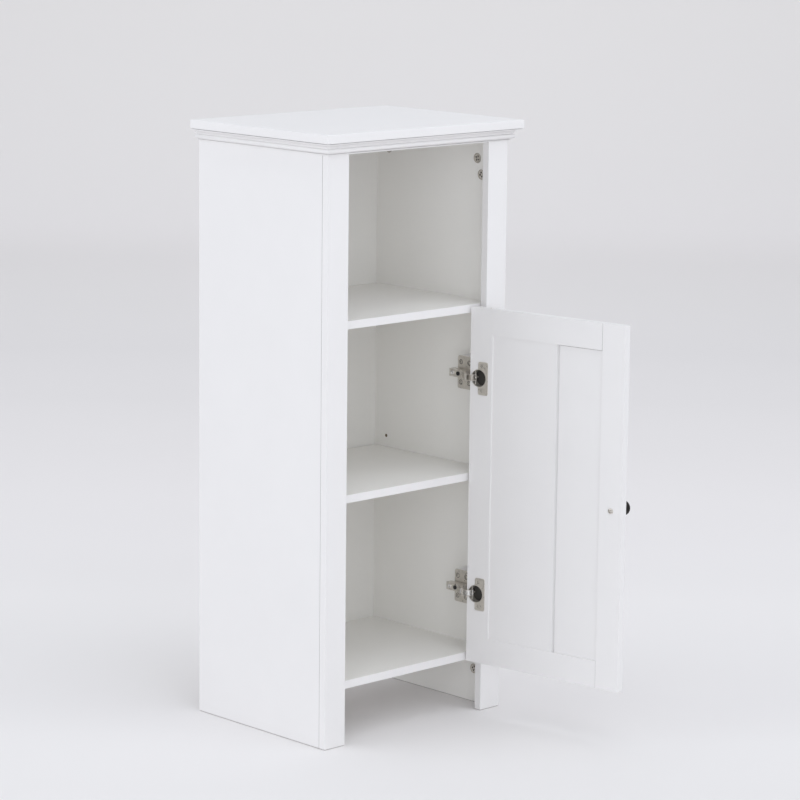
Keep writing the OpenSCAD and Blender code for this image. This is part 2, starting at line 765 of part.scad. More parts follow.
module inner_link() {
  pts = [for (s = inner_steps) inner_point(s)];
  last = len(pts) - 1;
  n = side_of(pts[0], pts[1]);
  difference() {
    union() {
      for (side = [0, 1])
        mirror([0, 0, side]) translate([0, 0, inner_z[0]]) {
          for (i = [0:last - 1])
            cheek_bar(pts[i], pts[i + 1], 0.95);
          for (i = [1:last - 1])
            translate([pts[i].x, pts[i].y, 0]) rod_z(1.9, 0, inner_z[1] - inner_z[0]);
          translate([pts[0].x, pts[0].y, 0]) rod_z(4, 0, inner_z[1] - inner_z[0]);
          translate([pts[last].x, pts[last].y, 0]) rod_z(4.3, 0, inner_z[1] - inner_z[0]);
        }
      translate([0, 0, -inner_z[1]]) linear_extrude(2 * inner_z[1])
        polygon([pts[0] - 2 * n, pts[1] - 1.9 * n, pts[1] - 0.9 * n, pts[0] - 1.2 * n]);
    }
    translate([pts[0].x, pts[0].y, 0]) rod_z(2 * (pin_r + pin_play), -inner_z[1] - 1, inner_z[1] + 1);
    translate([pts[last].x, pts[last].y, 0]) rod_z(2 * (seat_r + seat_play), -inner_z[1] - 1, inner_z[1] + 1);
  }
}

module upper_inner_link()
  color(steel) at_hinges(upper_hinge_z) inner_link();

module lower_inner_link()
  color(steel) at_hinges(lower_hinge_z) inner_link();

top_slab();
crown_front();
crown_left();
crown_right();
crown_back_rail();
left_side_panel();
right_side_panel();
left_stile();
right_stile();
upper_shelf();
middle_shelf();
bottom_board();
back_panel();
side_cams();
crown_cam_bolts();
stile_cam_bolts();
shelf_cams();
shelf_cam_bolts();
shelf_dowels();
shelf_pins();
upper_hinge_block();
lower_hinge_block();
upper_mounting_plate();
lower_mounting_plate();
plate_screws();
upper_hinge_arm();
lower_hinge_arm();
arm_screws();
arm_pins();
door_hinge_stile();
door_free_stile();
door_top_rail();
door_bottom_rail();
door_panel_wide();
door_panel_narrow();
upper_hinge_cup();
lower_hinge_cup();
cup_screws();
cup_pins();
knob();
knob_screw();
upper_outer_link();
lower_outer_link();
upper_inner_link();
lower_inner_link();
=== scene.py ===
"""Bathroom cabinet with its door open: dressed pieces, finishes, light and camera."""

import logging
import math
from dataclasses import dataclass, field
from enum import Enum
from typing import Callable

import bmesh
import bpy
from bpy.types import Material, Mesh, Node, NodeSocket, NodeTree, Object
from mathutils import Matrix, Vector


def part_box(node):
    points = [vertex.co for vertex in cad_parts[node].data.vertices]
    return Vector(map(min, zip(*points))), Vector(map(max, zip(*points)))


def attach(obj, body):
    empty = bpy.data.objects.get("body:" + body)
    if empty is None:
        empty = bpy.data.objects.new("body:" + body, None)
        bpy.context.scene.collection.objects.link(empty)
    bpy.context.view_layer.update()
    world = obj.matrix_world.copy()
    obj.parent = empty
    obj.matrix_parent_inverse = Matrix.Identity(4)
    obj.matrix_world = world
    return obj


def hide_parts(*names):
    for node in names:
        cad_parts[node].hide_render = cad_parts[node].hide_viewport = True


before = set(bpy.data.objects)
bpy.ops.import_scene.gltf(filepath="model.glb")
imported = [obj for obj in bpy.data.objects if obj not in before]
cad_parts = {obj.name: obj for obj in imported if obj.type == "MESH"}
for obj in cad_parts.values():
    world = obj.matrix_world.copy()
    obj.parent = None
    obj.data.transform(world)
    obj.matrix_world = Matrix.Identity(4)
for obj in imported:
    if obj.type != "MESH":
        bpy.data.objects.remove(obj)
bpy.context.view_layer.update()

MM = 0.001
# Points of a solid nearer than this are one point
WELD = 0.000002
# Neighbouring faces of a solid that differ by less than this angle, in degrees, are one face
FLAT_WITHIN = 0.5
# Edges sharper than these angles, in degrees, are eased, or stay sharp where nothing is eased
EASED_ABOVE = 32.0
SHARP_ABOVE = 35.0
EASE_STEPS = 2
# Points lower than this stand on the floor
ON_FLOOR = 0.00001
FOOT_CHAMFER = 0.0012
# The walls of a bore lie deeper in a board than this
BORE_DEPTH = 0.0012
# A face looks one way when that way has more than this share of its normal
FACING = 0.9

logging.basicConfig(level=logging.INFO, format="%(name)s: %(message)s")
LOG = logging.getLogger("cabinet")

# Where the front face of the stiles lies in the frame of the parts
FRONT_Y = -0.00849537


class Side(Enum):
    """Which hinge of the door a piece belongs to."""

    UPPER = "upper"
    LOWER = "lower"


class Body(Enum):
    """The moving bodies that the pieces ride on."""

    CABINET = "cabinet"
    DOOR = "door"


# Shader node helpers


def group_socket(tree: NodeTree, name: str, kind: str, out: bool = False,
                 value: float | tuple | None = None) -> None:
    """Add one named socket to a node group.

    Args:
        tree: The group's node tree.
        name: The socket's name.
        kind: Float, Vector or Color.
        out: True for an output.
        value: The input's default.
    """
    socket = tree.interface.new_socket(name=name, in_out="OUTPUT" if out else "INPUT",
                                       socket_type=f"NodeSocket{kind}")
    if value is not None:
        socket.default_value = value


def new_group(name: str) -> tuple[NodeTree, Node, Node]:
    """Make an empty shader node group.

    Args:
        name: The group's name.

    Returns:
        The tree, its input node and its output node.
    """
    tree = bpy.data.node_groups.new(name, "ShaderNodeTree")
    return tree, tree.nodes.new("NodeGroupInput"), tree.nodes.new("NodeGroupOutput")


def feed(tree: NodeTree, slot: NodeSocket, given: object) -> None:
    """Link a socket to an input, or set the input to a value.

    Args:
        tree: The tree that both are in.
        slot: The input.
        given: A socket or a value.
    """
    if isinstance(given, NodeSocket):
        tree.links.new(given, slot)
    else:
        slot.default_value = given


def math_node(tree: NodeTree, kind: str, *values: object) -> NodeSocket:
    """Add a Math node whose inputs are sockets or numbers.

    Args:
        tree: The tree to add to.
        kind: The operation.
        values: A socket or a number for each input.

    Returns:
        The node's output socket.
    """
    node = tree.nodes.new("ShaderNodeMath")
    node.operation = kind
    for slot, value in zip(node.inputs, values):
        feed(tree, slot, value)
    return node.outputs[0]


def weighted(tree: NodeTree, first: NodeSocket, share: float,
             second: NodeSocket) -> NodeSocket:
    """Add two values by shares.

    Args:
        tree: The tree to add to.
        first: The first value.
        share: Its share from 0 to 1.
        second: The value that has the rest.

    Returns:
        The sum's socket.
    """
    return math_node(tree, "ADD", math_node(tree, "MULTIPLY", first, share),
                     math_node(tree, "MULTIPLY", second, round(1.0 - share, 3)))


def noise_node(tree: NodeTree, vector: NodeSocket, scale: object,
               detail: float = 3.0, rough: float = 0.5) -> NodeSocket:
    """Add a noise texture and give its value.

    Args:
        tree: The tree to add to.
        vector: The coordinates.
        scale: The number of features per metre, as a number or a socket.
        detail: The number of octaves.
        rough: The strength of the finer octaves.

    Returns:
        The noise value socket.
    """
    node = tree.nodes.new("ShaderNodeTexNoise")
    for slot, given in (("Vector", vector), ("Scale", scale), ("Detail", detail), ("Roughness", rough)):
        feed(tree, node.inputs[slot], given)
    return node.outputs["Fac"]


def range_node(tree: NodeTree, value: NodeSocket, low: object, high: object,
               first: object = 0.0, last: object = 1.0) -> NodeSocket:
    """Map a value from one range to another, held at the ends.

    Args:
        tree: The tree to add to.
        value: The value to map.
        low: Start of its range.
        high: End of its range.
        first: Result at the start.
        last: Result at the end.

    Returns:
        The mapped value socket.
    """
    node = tree.nodes.new("ShaderNodeMapRange")
    node.clamp = True
    for slot, given in zip(("Value", "From Min", "From Max", "To Min", "To Max"), (value, low, high, first, last)):
        feed(tree, node.inputs[slot], given)
    return node.outputs["Result"]


def mix_color(tree: NodeTree, factor: object, first: object, second: object) -> NodeSocket:
    """Mix two colours.

    Args:
        tree: The tree to add to.
        factor: A socket or a number from 0 to 1.
        first: Colour or socket at 0.
        second: Colour or socket at 1.

    Returns:
        The mixed colour socket.
    """
    node = tree.nodes.new("ShaderNodeMix")
    node.data_type = "RGBA"
    # A Mix node's inputs for factor and colours
    for slot, given in ((0, factor), (6, first), (7, second)):
        feed(tree, node.inputs[slot], given)
    return node.outputs[2]


def paint_film_group() -> NodeTree:
    """Group for sprayed paint on board: soft tone drift, handling dirt and a fine stipple.

    Returns:
        The node group.
    """
    tree, given, made = new_group("paint film")
    group_socket(tree, "Vector", "Vector")
    group_socket(tree, "Stipple per metre", "Float", value=900.0)
    for name in ("Tone", "Sheen", "Height"):
        group_socket(tree, name, "Float", out=True)
    vector = given.outputs["Vector"]
    drift = noise_node(tree, vector, 2.2, 2.0)
    cloud = noise_node(tree, vector, 14.0, 4.0, 0.55)
    stipple = noise_node(tree, vector, given.outputs["Stipple per metre"], 2.0, 0.6)
    pull = noise_node(tree, vector, 120.0, 2.0)
    tree.links.new(range_node(tree, weighted(tree, drift, 0.6, cloud), 0.3, 0.7), made.inputs["Tone"])
    tree.links.new(range_node(tree, weighted(tree, cloud, 0.7, stipple), 0.3, 0.7), made.inputs["Sheen"])
    tree.links.new(weighted(tree, stipple, 0.35, pull), made.inputs["Height"])
    return tree


def drawn_metal_group() -> NodeTree:
    """Group for pressed and plated sheet: fine drawing lines, small scuffs and dull patches.

    Returns:
        The node group.
    """
    tree, given, made = new_group("drawn metal")
    group_socket(tree, "Vector", "Vector")
    group_socket(tree, "Line stretch", "Vector", value=(1.0, 1.0, 1.0))
    for name in ("Lines", "Dull", "Scuff"):
        group_socket(tree, name, "Float", out=True)
    stretch = tree.nodes.new("ShaderNodeVectorMath")
    stretch.operation = "MULTIPLY"
    tree.links.new(given.outputs["Vector"], stretch.inputs[0])
    tree.links.new(given.outputs["Line stretch"], stretch.inputs[1])
    lines = noise_node(tree, stretch.outputs[0], 2600.0, 3.0, 0.6)
    dull = noise_node(tree, given.outputs["Vector"], 160.0, 4.0, 0.6)
    scuff = noise_node(tree, given.outputs["Vector"], 900.0, 5.0, 0.75)
    tree.links.new(lines, made.inputs["Lines"])
    tree.links.new(range_node(tree, dull, 0.3, 0.72), made.inputs["Dull"])
    tree.links.new(range_node(tree, scuff, 0.6, 0.72), made.inputs["Scuff"])
    return tree


class Groups:
    """The shader groups that several finishes share, each built once."""

    paint: NodeTree = paint_film_group()
    metal: NodeTree = drawn_metal_group()


@dataclass(frozen=True)
class Finish:
    """A finish with a plain colour and a range of roughness."""

    name: str
    color: tuple[float, float, float]
    rough: tuple[float, float] = (0.4, 0.5)
    metallic: float = 0.0

    def start(self) -> tuple[Material, NodeTree, Node, NodeSocket]:
        """Make an empty material with its shader and Object coordinates.

        Returns:
            The material, its tree, the shader node and the coordinate socket.
        """
        material = bpy.data.materials.new(self.name)
        material.use_nodes = True
        tree = material.node_tree
        shader = tree.nodes["Principled BSDF"]
        shader.inputs["Metallic"].default_value = self.metallic
        coords = tree.nodes.new("ShaderNodeTexCoord")
        return material, tree, shader, coords.outputs["Object"]

    def place_group(self, tree: NodeTree, group: NodeTree,
                    vector: NodeSocket) -> Node:
        """Place a shader group and feed it coordinates.

        Args:
            tree: The material's tree.
            group: The group to place.
            vector: The coordinates.

        Returns:
            The group node.
        """
        node = tree.nodes.new("ShaderNodeGroup")
        node.node_tree = group
        tree.links.new(vector, node.inputs["Vector"])
        return node

    def bump(self, tree: NodeTree, shader: Node, height: NodeSocket,
             distance: float, strength: float = 0.5) -> None:
        """Feed a height to the shader's normal.

        Args:
            tree: The material's tree.
            shader: The shader node.
            height: The height from 0 to 1.
            distance: The height of 1 in metres.
            strength: How strongly it shows.
        """
        node = tree.nodes.new("ShaderNodeBump")
        node.inputs["Strength"].default_value = strength
        node.inputs["Distance"].default_value = distance
        tree.links.new(height, node.inputs["Height"])
        tree.links.new(node.outputs["Normal"], shader.inputs["Normal"])

    def tones(self, low: float, high: float) -> tuple[tuple, tuple]:
        """Give the colour at two brightnesses."""
        return tuple(c * low for c in self.color) + (1.0,), tuple(min(c * high, 1.0) for c in self.color) + (1.0,)


@dataclass(frozen=True)
class BoardPaint(Finish):
    """White paint on fibreboard."""

    stipple: float = 900.0
    depth: float = 0.00006

    def build(self) -> Material:
        """Build the material.

        Returns:
            The material.
        """
        material, tree, shader, vector = self.start()
        film = self.place_group(tree, Groups.paint, vector)
        film.inputs["Stipple per metre"].default_value = self.stipple
        low, high = self.tones(0.975, 1.01)
        tree.links.new(mix_color(tree, film.outputs["Tone"], low, high), shader.inputs["Base Color"])
        tree.links.new(range_node(tree, film.outputs["Sheen"], 0.0, 1.0, *self.rough), shader.inputs["Roughness"])
        self.bump(tree, shader, film.outputs["Height"], self.depth, 0.35)
        return material


@dataclass(frozen=True)
class PlatedSteel(Finish):
    """Plated sheet steel, drawn along one direction."""

    stretch: tuple[float, float, float] = (1.0, 1.0, 0.06)
    depth: float = 0.00002

    def build(self) -> Material:
        """Build the material.

        Returns:
            The material.
        """
        material, tree, shader, vector = self.start()
        sheet = self.place_group(tree, Groups.metal, vector)
        sheet.inputs["Line stretch"].default_value = self.stretch
        low, high = self.tones(0.78, 1.04)
        dull, lines = sheet.outputs["Dull"], sheet.outputs["Lines"]
        tree.links.new(mix_color(tree, weighted(tree, dull, 0.7, lines), low, high), shader.inputs["Base Color"])
        rough = range_node(tree, weighted(tree, dull, 0.6, lines), 0.2, 0.9, *self.rough)
        tree.links.new(rough, shader.inputs["Roughness"])
        self.bump(tree, shader, lines, self.depth, 0.4)
        return material


@dataclass(frozen=True)
class CastBronze(Finish):
    """Dark bronze finish of the knob, rubbed a little lighter in patches."""

    rubbed: tuple[float, float, float] = (0.12, 0.085, 0.06)

    def build(self) -> Material:
        """Build the material.

        Returns:
            The material.
        """
        material, tree, shader, vector = self.start()
        sheet = self.place_group(tree, Groups.metal, vector)
        patches = range_node(tree, noise_node(tree, vector, 90.0, 5.0, 0.65), 0.52, 0.72)
        rub = math_node(tree, "MULTIPLY", patches, 0.55)
        color = mix_color(tree, rub, self.color + (1.0,), self.rubbed + (1.0,))
        tree.links.new(color, shader.inputs["Base Color"])
        tree.links.new(range_node(tree, sheet.outputs["Dull"], 0.0, 1.0, *self.rough), shader.inputs["Roughness"])
        self.bump(tree, shader, noise_node(tree, vector, 1400.0, 4.0, 0.6), 0.00004, 0.5)
        return material


@dataclass(frozen=True)
class BareWood(Finish):
    """Turned hardwood of the dowels."""

    def build(self) -> Material:
        """Build the material.

        Returns:
            The material.
        """
        material, tree, shader, vector = self.start()
        shift = tree.nodes.new("ShaderNodeMapping")
        shift.inputs["Scale"].default_value = (0.08, 1.0, 1.0)
        tree.links.new(vector, shift.inputs["Vector"])
        grain = noise_node(tree, shift.outputs[0], 700.0, 5.0, 0.65)
        low, high = self.tones(0.7, 1.1)
        tree.links.new(mix_color(tree, grain, low, high), shader.inputs["Base Color"])
        tree.links.new(range_node(tree, grain, 0.3, 0.7, *self.rough), shader.inputs["Roughness"])
        self.bump(tree, shader, grain, 0.0001, 0.5)
        return material


class Finishes:
    """All finishes of the cabinet, built once and shared by its pieces."""

    def __init__(self) -> None:
        """Build every material."""
        self.paint = BoardPaint("white_satin_paint", (0.886, 0.869, 0.862), (0.42, 0.56)).build()
        # The same white paint made lighter on the faces inside the cabinet, as painted light
        self.inner = BoardPaint("white_paint_painted_light_inside", (0.955, 0.938, 0.9), (0.45, 0.6)).build()
        # White film on the back, made lighter than the outer paint as painted light
        self.back = BoardPaint("white_back_film_painted_light", (0.955, 0.938, 0.9), (0.5, 0.62), stipple=1500.0,
                               depth=0.00003).build()
        self.nickel = PlatedSteel("nickel_plate", (0.74, 0.7, 0.64), (0.26, 0.42), 0.7).build()
        # Nickel painted lighter, as a painted highlight, on the lower outer link and the rear arm screw
        self.bright = PlatedSteel("nickel_painted_highlight", (0.93, 0.92, 0.9), (0.14, 0.24), 0.7).build()
        self.zinc = PlatedSteel("zinc_cast", (0.5, 0.5, 0.51), (0.34, 0.55), 1.0, (1.0, 1.0, 1.0), 0.00005).build()
        self.black = PlatedSteel("black_plate", (0.06, 0.06, 0.062), (0.35, 0.5), 0.8, (1.0, 1.0, 1.0)).build()
        self.bronze = CastBronze("dark_bronze", (0.018, 0.015, 0.014), (0.3, 0.5), 0.6).build()
        # Near-black steel put on screw recesses, plate countersinks and cup floors as painted shade
        self.shade = PlatedSteel("painted_shade_steel", (0.09, 0.085, 0.08), (0.4, 0.6), 0.7, (1.0, 1.0, 1.0)).build()
        self.birch = BareWood("birch_dowel", (0.62, 0.47, 0.3), (0.6, 0.75)).build()
        # Nickel painted darker, as painted shade, on the upper outer link
        self.link = PlatedSteel("nickel_painted_shade", (0.56, 0.52, 0.465), (0.3, 0.46), 0.8).build()
        # Grey on the walls of open joints and on the chamfers at the feet, as painted shade
        self.seam = BareWood("joint_painted_shade", (0.6, 0.585, 0.565), (0.8, 0.95)).build()
        # Grey paint in the groove between the door's boards, as painted shade
        self.groove = BoardPaint("groove_painted_shade", (0.77, 0.757, 0.75), (0.5, 0.62)).build()
        self.fibre = BareWood("bare_fibreboard", (0.42, 0.31, 0.21), (0.75, 0.9)).build()


# From measurements to places


def at(x: float, y: float, z: float) -> Vector:
    """Turn millimetres from the middle, the stiles' front and the floor into a place in the frame."""
    return Vector((x * MM, y * MM + FRONT_Y, z * MM))


@dataclass(frozen=True)
class DoorSwing:
    """Where the open door stands: its first hinge link turns on the arm and carries the cup."""

    arm_pivot: tuple[float, float] = (118.2, 21.8)
    cup_pivot: tuple[float, float] = (131.7, 7.8)
    link_share: float = -0.2814
    open_angle: float = 98.0

    def turned(self, x: float, y: float, angle: float) -> tuple[float, float]:
        """Turn a step about the upright axis by an angle in degrees."""
        c, s = math.cos(math.radians(angle)), math.sin(math.radians(angle))
        return x * c - y * s, x * s + y * c

    def place(self, x: float, y: float, z: float) -> Vector:
        """Give the place on the open door of a point measured on the closed one, in millimetres.

        Args:
            x: Its distance from the middle.
            y: Its distance behind the front of the stiles.
            z: Its height.

        Returns:
            The place in the frame.
        """
        px, py = self.turned(self.cup_pivot[0] - self.arm_pivot[0], self.cup_pivot[1] - self.arm_pivot[1],
                             self.link_share * self.open_angle)
        dx, dy = self.turned(x - self.cup_pivot[0], y - self.cup_pivot[1], self.open_angle)
        return at(self.arm_pivot[0] + px + dx, self.arm_pivot[1] + py + dy, z)

    def way(self, x: float, y: float, z: float) -> Vector:
        """Give the direction on the open door of a direction on the closed one."""
        dx, dy = self.turned(x, y, self.open_angle)
        return Vector((dx, dy, z))

    def closed(self, point: Vector) -> tuple[float, float, float]:
        """Give the closed place in millimetres of a point on the open door.

        Args:
            point: The point in the frame.

        Returns:
            Its x, y and z on the closed door.
        """
        origin = self.place(0.0, 0.0, 0.0)
        x, y = self.turned((point.x - origin.x) / MM, (point.y - origin.y) / MM, -self.open_angle)
        return x, y, point.z / MM


DOOR = DoorSwing()


def within(value: float, span: tuple[float, float]) -> bool:
    """Tell whether a value lies between two others."""
    return span[0] < value < span[1]


# Geometry Nodes trees


class GrowTree:
    """A Geometry Nodes tree under construction, with named sizes."""

    def __init__(self, name: str) -> None:
        """Start an empty tree.

        Args:
            name: The tree's name.
        """
        self.tree = bpy.data.node_groups.new(name, "GeometryNodeTree")
        for way in ("INPUT", "OUTPUT"):
            self.tree.interface.new_socket(name="Geometry", in_out=way, socket_type="NodeSocketGeometry")
        self.given = self.tree.nodes.new("NodeGroupInput")
        self.made = self.tree.nodes.new("NodeGroupOutput")

    def size(self, name: str, value: object = None, kind: str = "Float") -> NodeSocket:
        """Add a named input.

        Args:
            name: The input's name.
            value: Its default.
            kind: Its kind of socket.

        Returns:
            The socket that gives the input inside the tree.
        """
        socket = self.tree.interface.new_socket(name=name, in_out="INPUT", socket_type=f"NodeSocket{kind}")
        if value is not None:
            socket.default_value = value
        return self.given.outputs[name]

    def node(self, kind: str, links: dict[object, object], **settings: object) -> Node:
        """Add a node.

        Args:
            kind: The node's type.
            links: A socket or a value for each input, by name or number.
            settings: The node's own settings.

        Returns:
            The node.
        """
        node = self.tree.nodes.new(kind)
        for key, value in settings.items():
            setattr(node, key, value)
        for key, value in links.items():
            for given in value if isinstance(value, list) else [value]:
                feed(self.tree, node.inputs[key], given)
        return node

    def math(self, kind: str, *values: object) -> NodeSocket:
        """Add a Math node."""
        return self.node("ShaderNodeMath", dict(enumerate(values)), operation=kind).outputs[0]

    def split(self) -> tuple[NodeSocket, ...]:
        """Give the three coordinates of the position."""
        place = self.node("GeometryNodeInputPosition", {}).outputs[0]
        return tuple(self.node("ShaderNodeSeparateXYZ", {0: place}).outputs)

    def join(self, x: object, y: object, z: object) -> NodeSocket:
        """Join three values to a vector."""
        return self.node("ShaderNodeCombineXYZ", {0: x, 1: y, 2: z}).outputs[0]

    def move(self, geometry: NodeSocket, place: NodeSocket) -> NodeSocket:
        """Set the position of every point."""
        return self.node("GeometryNodeSetPosition", {"Geometry": geometry, "Position": place}).outputs[0]

    def spread(self, shape: NodeSocket, facing: NodeSocket,
               seed: NodeSocket) -> NodeSocket:
        """Put a shape on every given point, facing one way and each turned by a chance angle.

        Args:
            shape: The shape, which faces up.
            facing: The direction that it shall face.
            seed: The seed of the chance angles.

        Returns:
            The placed shapes.
        """
        aimed = self.node("FunctionNodeAlignRotationToVector", {"Vector": facing}, axis="Z").outputs[0]
        chance = self.node("FunctionNodeRandomValue", {2: 0.0, 3: 1.5, "Seed": seed}, data_type="FLOAT").outputs[1]
        spin = self.node("FunctionNodeAxisAngleToRotation", {"Axis": (0.0, 0.0, 1.0), "Angle": chance}).outputs[0]
        turn = self.node("FunctionNodeRotateRotation", {"Rotation": aimed, "Rotate By": spin},
                         rotation_space="LOCAL").outputs[0]
        return self.node("GeometryNodeInstanceOnPoints", {"Points": self.given.outputs["Geometry"], "Instance": shape,
                                                          "Rotation": turn}).outputs[0]

    def finish(self, geometry: NodeSocket, finish: NodeSocket,
               second: tuple[NodeSocket, NodeSocket] | None = None) -> NodeSocket:
        """Dress a shape.

        Args:
            geometry: The shape.
            finish: Its material.
            second: A selection of its faces and their own material.

        Returns:
            The dressed shape.
        """
        shape = self.node("GeometryNodeSetMaterial", {"Geometry": geometry, "Material": finish}).outputs[0]
        if second:
            shape = self.node("GeometryNodeSetMaterial", {"Geometry": shape, "Selection": second[0],
                                                          "Material": second[1]}).outputs[0]
        return shape

    def close(self, geometry: NodeSocket) -> NodeTree:
        """Realize what the tree made and end it.

        Args:
            geometry: What the tree made.

        Returns:
            The finished tree.
        """
        real = self.node("GeometryNodeRealizeInstances", {"Geometry": geometry}).outputs[0]
        self.tree.links.new(real, self.made.inputs[0])
        return self.tree


def fastener_tree() -> NodeTree:
    """Tree for screws and cams: a head with a cross recess and a shank, on each point.

    Returns:
        The node tree.
    """
    t = GrowTree("cross recess fastener")
    head_r = t.size("Head radius")
    head_h = t.size("Head height")
    dome = t.size("Dome", 0.0)
    taper = t.size("Taper", 0.0)
    shank_r = t.size("Shank radius")
    shank_l = t.size("Shank length")
    slot_l = t.size("Recess length")
    slot_w = t.size("Recess width")
    slot_d = t.size("Recess depth")
    facing = t.size("Facing", kind="Vector")
    seed = t.size("Seed", 1, "Int")
    finish = t.size("Finish", kind="Material")
    # The near-black material of the recess is painted shade
    dark = t.size("Recess shade", kind="Material")
    # The head: a unit cylinder, domed above and straight or tapered below
    blank = t.node("GeometryNodeMeshCylinder", {"Vertices": 40, "Side Segments": 4, "Fill Segments": 4,
                                               "Radius": 1.0, "Depth": 1.0}).outputs[0]
    x, y, z = t.split()
    down = t.math("SUBTRACT", 0.5, z)
    radial = t.math("ADD", t.math("MULTIPLY", x, x), t.math("MULTIPLY", y, y))
    upper = t.math("POWER", t.math("MAXIMUM", t.math("SUBTRACT", 1.0, down), 0.0), 12.0)
    rise = t.math("MULTIPLY", t.math("MULTIPLY", dome, t.math("SUBTRACT", 1.0, radial)), upper)
    wide = t.math("MULTIPLY", t.math("MULTIPLY", taper, down), t.math("SUBTRACT", shank_r, head_r))
    wide = t.math("MULTIPLY", t.math("ADD", head_r, wide), t.math("SUBTRACT", 1.0, t.math("MULTIPLY", upper, 0.06)))
    low = t.math("SUBTRACT", rise, t.math("MULTIPLY", down, head_h))
    head = t.move(blank, t.join(t.math("MULTIPLY", x, wide), t.math("MULTIPLY", y, wide), low))
    # The cross recess: two bars that stand 1 mm above the dome and are cut out of the head
    top = t.math("ADD", dome, MM)
    tall = t.math("ADD", top, slot_d)
    cutters = []
    for size in ((slot_l, slot_w, tall), (slot_w, slot_l, tall)):
        bar = t.node("GeometryNodeMeshCube", {"Size": t.join(*size)}).outputs[0]
        lift = t.join(0.0, 0.0, t.math("MULTIPLY", t.math("SUBTRACT", top, slot_d), 0.5))
        cutters.append(t.node("GeometryNodeTransform", {"Geometry": bar, "Translation": lift}).outputs[0])
    cut = t.node("GeometryNodeMeshBoolean", {0: head, 1: cutters}, operation="DIFFERENCE", solver="EXACT").outputs[0]
    # The walls and floor of the recess, which get the near-black recess material as painted shade
    x, y, z = t.split()
    spread = t.math("SQRT", t.math("ADD", t.math("MULTIPLY", x, x), t.math("MULTIPLY", y, y)))
    inside = t.math("LESS_THAN", spread, t.math("MULTIPLY", slot_l, 0.51))
    below = t.math("LESS_THAN", z, t.math("MULTIPLY", slot_d, -0.2))
    above = t.math("GREATER_THAN", z, t.math("MULTIPLY", slot_d, -1.01))
    recess = t.math("MULTIPLY", inside, t.math("MULTIPLY", below, above))
    head = t.finish(cut, finish, (recess, dark))
    # The shank, its end hidden in the head
    rod = t.node("GeometryNodeMeshCylinder", {"Vertices": 20, "Radius": shank_r, "Depth": shank_l}).outputs[0]
    drop = t.join(0.0, 0.0, t.math("MULTIPLY", shank_l, -0.5))
    rod = t.finish(t.node("GeometryNodeTransform", {"Geometry": rod, "Translation": t.node(
        "ShaderNodeVectorMath", {0: drop, 1: (0.0, 0.0, -0.0004)}, operation="ADD").outputs[0]}).outputs[0], finish)
    whole = t.node("GeometryNodeJoinGeometry", {0: [rod, head]}).outputs[0]
    return t.close(t.spread(whole, facing, seed))


def turned_pin_tree() -> NodeTree:
    """Tree for pins and dowels: a rod with rounded ends and, on some, a collar, on each point.

    Returns:
        The node tree.
    """
    t = GrowTree("turned pin")
    radius = t.size("Radius")
    length = t.size("Length")
    ends = t.size("Rounded ends", 0.0003)
    collar_r = t.size("Collar radius", 0.0)
    collar_h = t.size("Collar height", 0.0001)
    collar_at = t.size("Collar place", 0.0)
    facing = t.size("Facing", kind="Vector")
    seed = t.size("Seed", 1, "Int")
    finish = t.size("Finish", kind="Material")
    # The rod: a unit cylinder whose ends draw in and bulge out
    blank = t.node("GeometryNodeMeshCylinder", {"Vertices": 28, "Side Segments": 12, "Fill Segments": 4,
                                               "Radius": 1.0, "Depth": 1.0}).outputs[0]
    x, y, z = t.split()
    radial = t.math("ADD", t.math("MULTIPLY", x, x), t.math("MULTIPLY", y, y))
    tip = t.math("POWER", t.math("MULTIPLY", t.math("ABSOLUTE", z), 2.0), 24.0)
    side = t.math("MULTIPLY", radius, t.math("SUBTRACT", 1.0, t.math("MULTIPLY", tip, 0.16)))
    bulge = t.math("MULTIPLY", t.math("MULTIPLY", t.math("SIGN", z), tip), t.math("MULTIPLY", ends,
                                                                                  t.math("SUBTRACT", 1.0, radial)))
    straight = t.math("MULTIPLY", z, t.math("SUBTRACT", length, t.math("MULTIPLY", ends, 2.0)))
    rod = t.move(blank, t.join(t.math("MULTIPLY", x, side), t.math("MULTIPLY", y, side),
                               t.math("ADD", straight, bulge)))
    # The collar, hidden in the rod of a plain pin
    ring = t.node("GeometryNodeMeshCylinder", {"Vertices": 28, "Radius": t.math("MAXIMUM", collar_r, 0.00001),
                                              "Depth": collar_h}).outputs[0]
    ring = t.node("GeometryNodeTransform", {"Geometry": ring, "Translation": t.join(0.0, 0.0, collar_at)}).outputs[0]
    both = t.node("GeometryNodeJoinGeometry", {0: [ring, rod]}).outputs[0]
    return t.close(t.spread(t.finish(both, finish), facing, seed))


